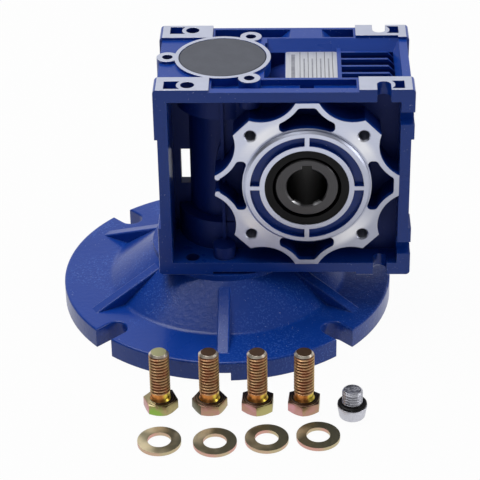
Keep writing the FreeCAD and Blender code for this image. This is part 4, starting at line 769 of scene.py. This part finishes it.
# %% A thread
def thread(name, core, crest, pitch, low, high, lead):
    """A right-hand thread from low to high on the Z axis, its tip cut at 45 degrees by the lead."""
    turns = math.ceil((high - low) / pitch) + 1
    start = low - pitch  # one turn below, so that the level cut finds a whole thread
    bpy.ops.object.select_all(action="DESELECT")
    bpy.ops.mesh.primitive_plane_add(size=MM)
    piece = begin(name)
    outline = [(core, 0), (crest, 0.42), (crest, 0.58), (core, 1)]  # radius, share of the pitch
    corners = [0, 1, 3, 2]  # the plane's corners in the order that goes round it
    for index, (radius, rise) in zip(corners, outline):
        piece.data.vertices[index].co = (radius * MM, 0, (start + rise * pitch) * MM)
    pick(piece, "EDGE", lambda middle: abs(middle.x - core) < 1e-4)
    bpy.ops.mesh.delete(type="EDGE_FACE")
    done()
    modify(piece, "SCREW", axis="Z", angle=math.tau, screw_offset=pitch * MM, iterations=turns,
           steps=40, render_steps=40, use_smooth_shade=False)
    pick(piece, "EDGE", lambda middle: True)
    bpy.ops.mesh.remove_doubles(threshold=2e-6)
    for height, way in ((low, -1), (high, 1)):
        bpy.ops.mesh.select_all(action="SELECT")
        bpy.ops.mesh.bisect(plane_co=(0, 0, height * MM), plane_no=(0, 0, way), use_fill=True,
                            clear_outer=True, threshold=1e-7)
    bpy.ops.mesh.select_all(action="SELECT")
    bpy.ops.mesh.normals_make_consistent(inside=False)
    done()
    blank = disc(name + "_blank", crest - 0.03, low - 0.5, high)
    pick(blank, "EDGE", lambda middle: middle.z > high - 1e-3)
    bpy.ops.mesh.bevel(offset=lead * MM, segments=1, affect="EDGES")
    done()
    cut(piece, blank, "INTERSECT")
    print(name, len(piece.data.polygons), "faces")
    return piece

# %% [markdown]
# ## The motor bolts
# Each bolt stands on its head. The hexagon is chamfered on the side that faces the wrench, here
# down: a hexagonal bar is cut by a wide cone, which leaves the curved corners that a real head has.
# On the other side a low round washer face carries the load, and a smooth neck with a flared foot
# leads to the thread. One bolt is modelled and copied four times, each copy with its own mesh.

# %% One bolt
def join(name, *pieces):
    """Join the pieces into the first, which takes the name."""
    alone(pieces[0])
    for piece in pieces[1:]:
        piece.select_set(True)
    bpy.ops.object.join()
    pieces[0].name = pieces[0].data.name = name
    return pieces[0]


ACROSS_FLATS, CHAMFER_FOOT, CHAMFER_SLOPE = 14.3, 6.7, 1.732
COLLAR, NECK, FLARE = 6.85, 4.38, 5.2
head = disc("bolt_head", ACROSS_FLATS / math.sqrt(3), 0, HEAD_HIGH - 0.4, 6)
cone = disc("bolt_head_cone", CHAMFER_FOOT + HEAD_HIGH * CHAMFER_SLOPE, 0, HEAD_HIGH, 96,
            taper=CHAMFER_FOOT)
cut(head, cone, "INTERSECT")
soften(head, 0.16, 2, 35)

collar = disc("bolt_washer_face", COLLAR, HEAD_HIGH - 0.8, HEAD_HIGH)
pick(collar, "EDGE", lambda middle: middle.z > HEAD_HIGH - 1e-3)
bpy.ops.mesh.bevel(offset=0.18 * MM, segments=2, affect="EDGES")
done()

neck = disc("bolt_neck", NECK, HEAD_HIGH - 0.5, HEAD_HIGH + 4.3)
flare = disc("bolt_flare", NECK, HEAD_HIGH - 0.2, HEAD_HIGH + 1.2, taper=FLARE)
shank = thread("bolt_thread", THREAD_CORE, THREAD_CREST, THREAD_PITCH, HEAD_HIGH + 4.0,
               BOLT_HIGH, LEAD)
bolt = join("bolt", head, collar, neck, flare, shank)
alone(bolt)
bpy.ops.object.shade_smooth_by_angle(angle=math.radians(28))
print("one bolt has", len(bolt.data.polygons), "faces")

# %% Four bolts
bolts = []
for number, (x, turn) in enumerate(BOLT_PLACES, start=1):
    copy = bolt.copy()
    copy.data = bolt.data.copy()
    copy.name = "motor_bolt_%d" % number
    bpy.context.scene.collection.objects.link(copy)
    place_at(copy, x, BOLT_ROW, turn=turn + 30)
    bolts.append(copy)
bpy.data.objects.remove(bolt)
for piece in bolts:
    coat(piece, zinc)
    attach(piece, "casing")
    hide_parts("motor_bolts")
print(len(bolts), "bolts at", [tuple(piece.bound_box[0]) for piece in bolts])

# %% [markdown]
# ## The vent plug
# The plug is turned from an aluminium bar. It stands on its conical head, with the seal ring
# pressed flat on the head's wide end and the thread above. The thread's tip is hollow, with a
# rough floor. So the head is a cone with broken edges, and the thread is bored with a round tool.

# %% The plug
PLUG_X, PLUG_Y, PLUG_HEAD, PLUG_HIGH = 60.5, -109.6, 6.3, 14.3
PLUG_WIDE, PLUG_FOOT, PLUG_NECK, PLUG_BORE = 6.98, 5.95, 4.15, 3.85
PLUG_CORE, PLUG_CREST, PLUG_PITCH, PLUG_LEAD = 4.12, 4.78, 1.35, 0.7
plug_head = disc("vent_plug_head", PLUG_WIDE, 0, PLUG_HEAD, 96, taper=PLUG_FOOT)
soften(plug_head, 0.45, 3, 40)
plug_neck = disc("vent_plug_neck", PLUG_NECK, PLUG_HEAD - 0.4, PLUG_HEAD + 2.0)
plug_thread = thread("vent_plug_thread", PLUG_CORE, PLUG_CREST, PLUG_PITCH, PLUG_HEAD + 1.4,
                     PLUG_HIGH, PLUG_LEAD)
bore = disc("vent_plug_bore", PLUG_BORE, PLUG_HIGH - 0.9, PLUG_HIGH + 1, 48)
cut(plug_thread, bore, "DIFFERENCE")
plug = join("vent_plug_turned", plug_head, plug_neck, plug_thread)
alone(plug)
bpy.ops.object.shade_smooth_by_angle(angle=math.radians(28))
place_at(plug, PLUG_X, PLUG_Y)
print("the plug has", len(plug.data.polygons), "faces")

# %% The plug's finish
def plug_metal():
    """Bright turned aluminium with a fine upright grain on the head and darker patches in the
    hollow end.
    """
    finish = Finish("vent_aluminium")
    x, y, z = finish.at()
    normal = finish.soft_edges(0.2)
    grain = finish.noise(0.9, 3, (1, 1, 0.25))
    metal = finish.blend(grain, tint(176, 177, 186), tint(224, 225, 234))
    hollow = (reach(x - PLUG_X, y - PLUG_Y) < PLUG_BORE + 0.05) & (z > 12)
    hollow_dark = hollow * finish.ramp(finish.noise(1.3, 2), 0.3, 0.7)
    metal = finish.blend(hollow_dark, metal, tint(104, 105, 116))
    relief = grain + finish.noise(1.1, 3) * hollow * 6
    return finish.surface(base_color=metal, metallic=0.9, roughness=0.32 + 0.2 * grain,
                          normal=finish.bump(relief, 0.05, normal))


coat(plug, plug_metal())
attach(plug, "casing")
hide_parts("vent_plug")

# %% [markdown]
# ## The seal ring
# The ring is a round rubber cord between the plug's head and its thread. It carries no load here,
# but it has been tightened before and kept its flattened section, so a torus is pressed to about
# half its height.

# %% The seal ring
CORD_CIRCLE, CORD_RADIUS, PRESSED = 5.5, 1.25, 0.52
bpy.ops.object.select_all(action="DESELECT")
bpy.ops.mesh.primitive_torus_add(major_radius=CORD_CIRCLE * MM, minor_radius=CORD_RADIUS * MM,
                                 major_segments=96, minor_segments=24)
cord = begin("vent_seal_ring")
pick(cord, "FACE", lambda middle: True)
bpy.ops.transform.resize(value=(1, 1, PRESSED))
done()
bpy.ops.object.shade_smooth()
place_at(cord, PLUG_X, PLUG_Y, PLUG_HEAD + 0.62)
coat(cord, rubber)
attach(cord, "casing")
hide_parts("vent_o_ring")
print("the seal ring has", len(cord.data.polygons), "faces")
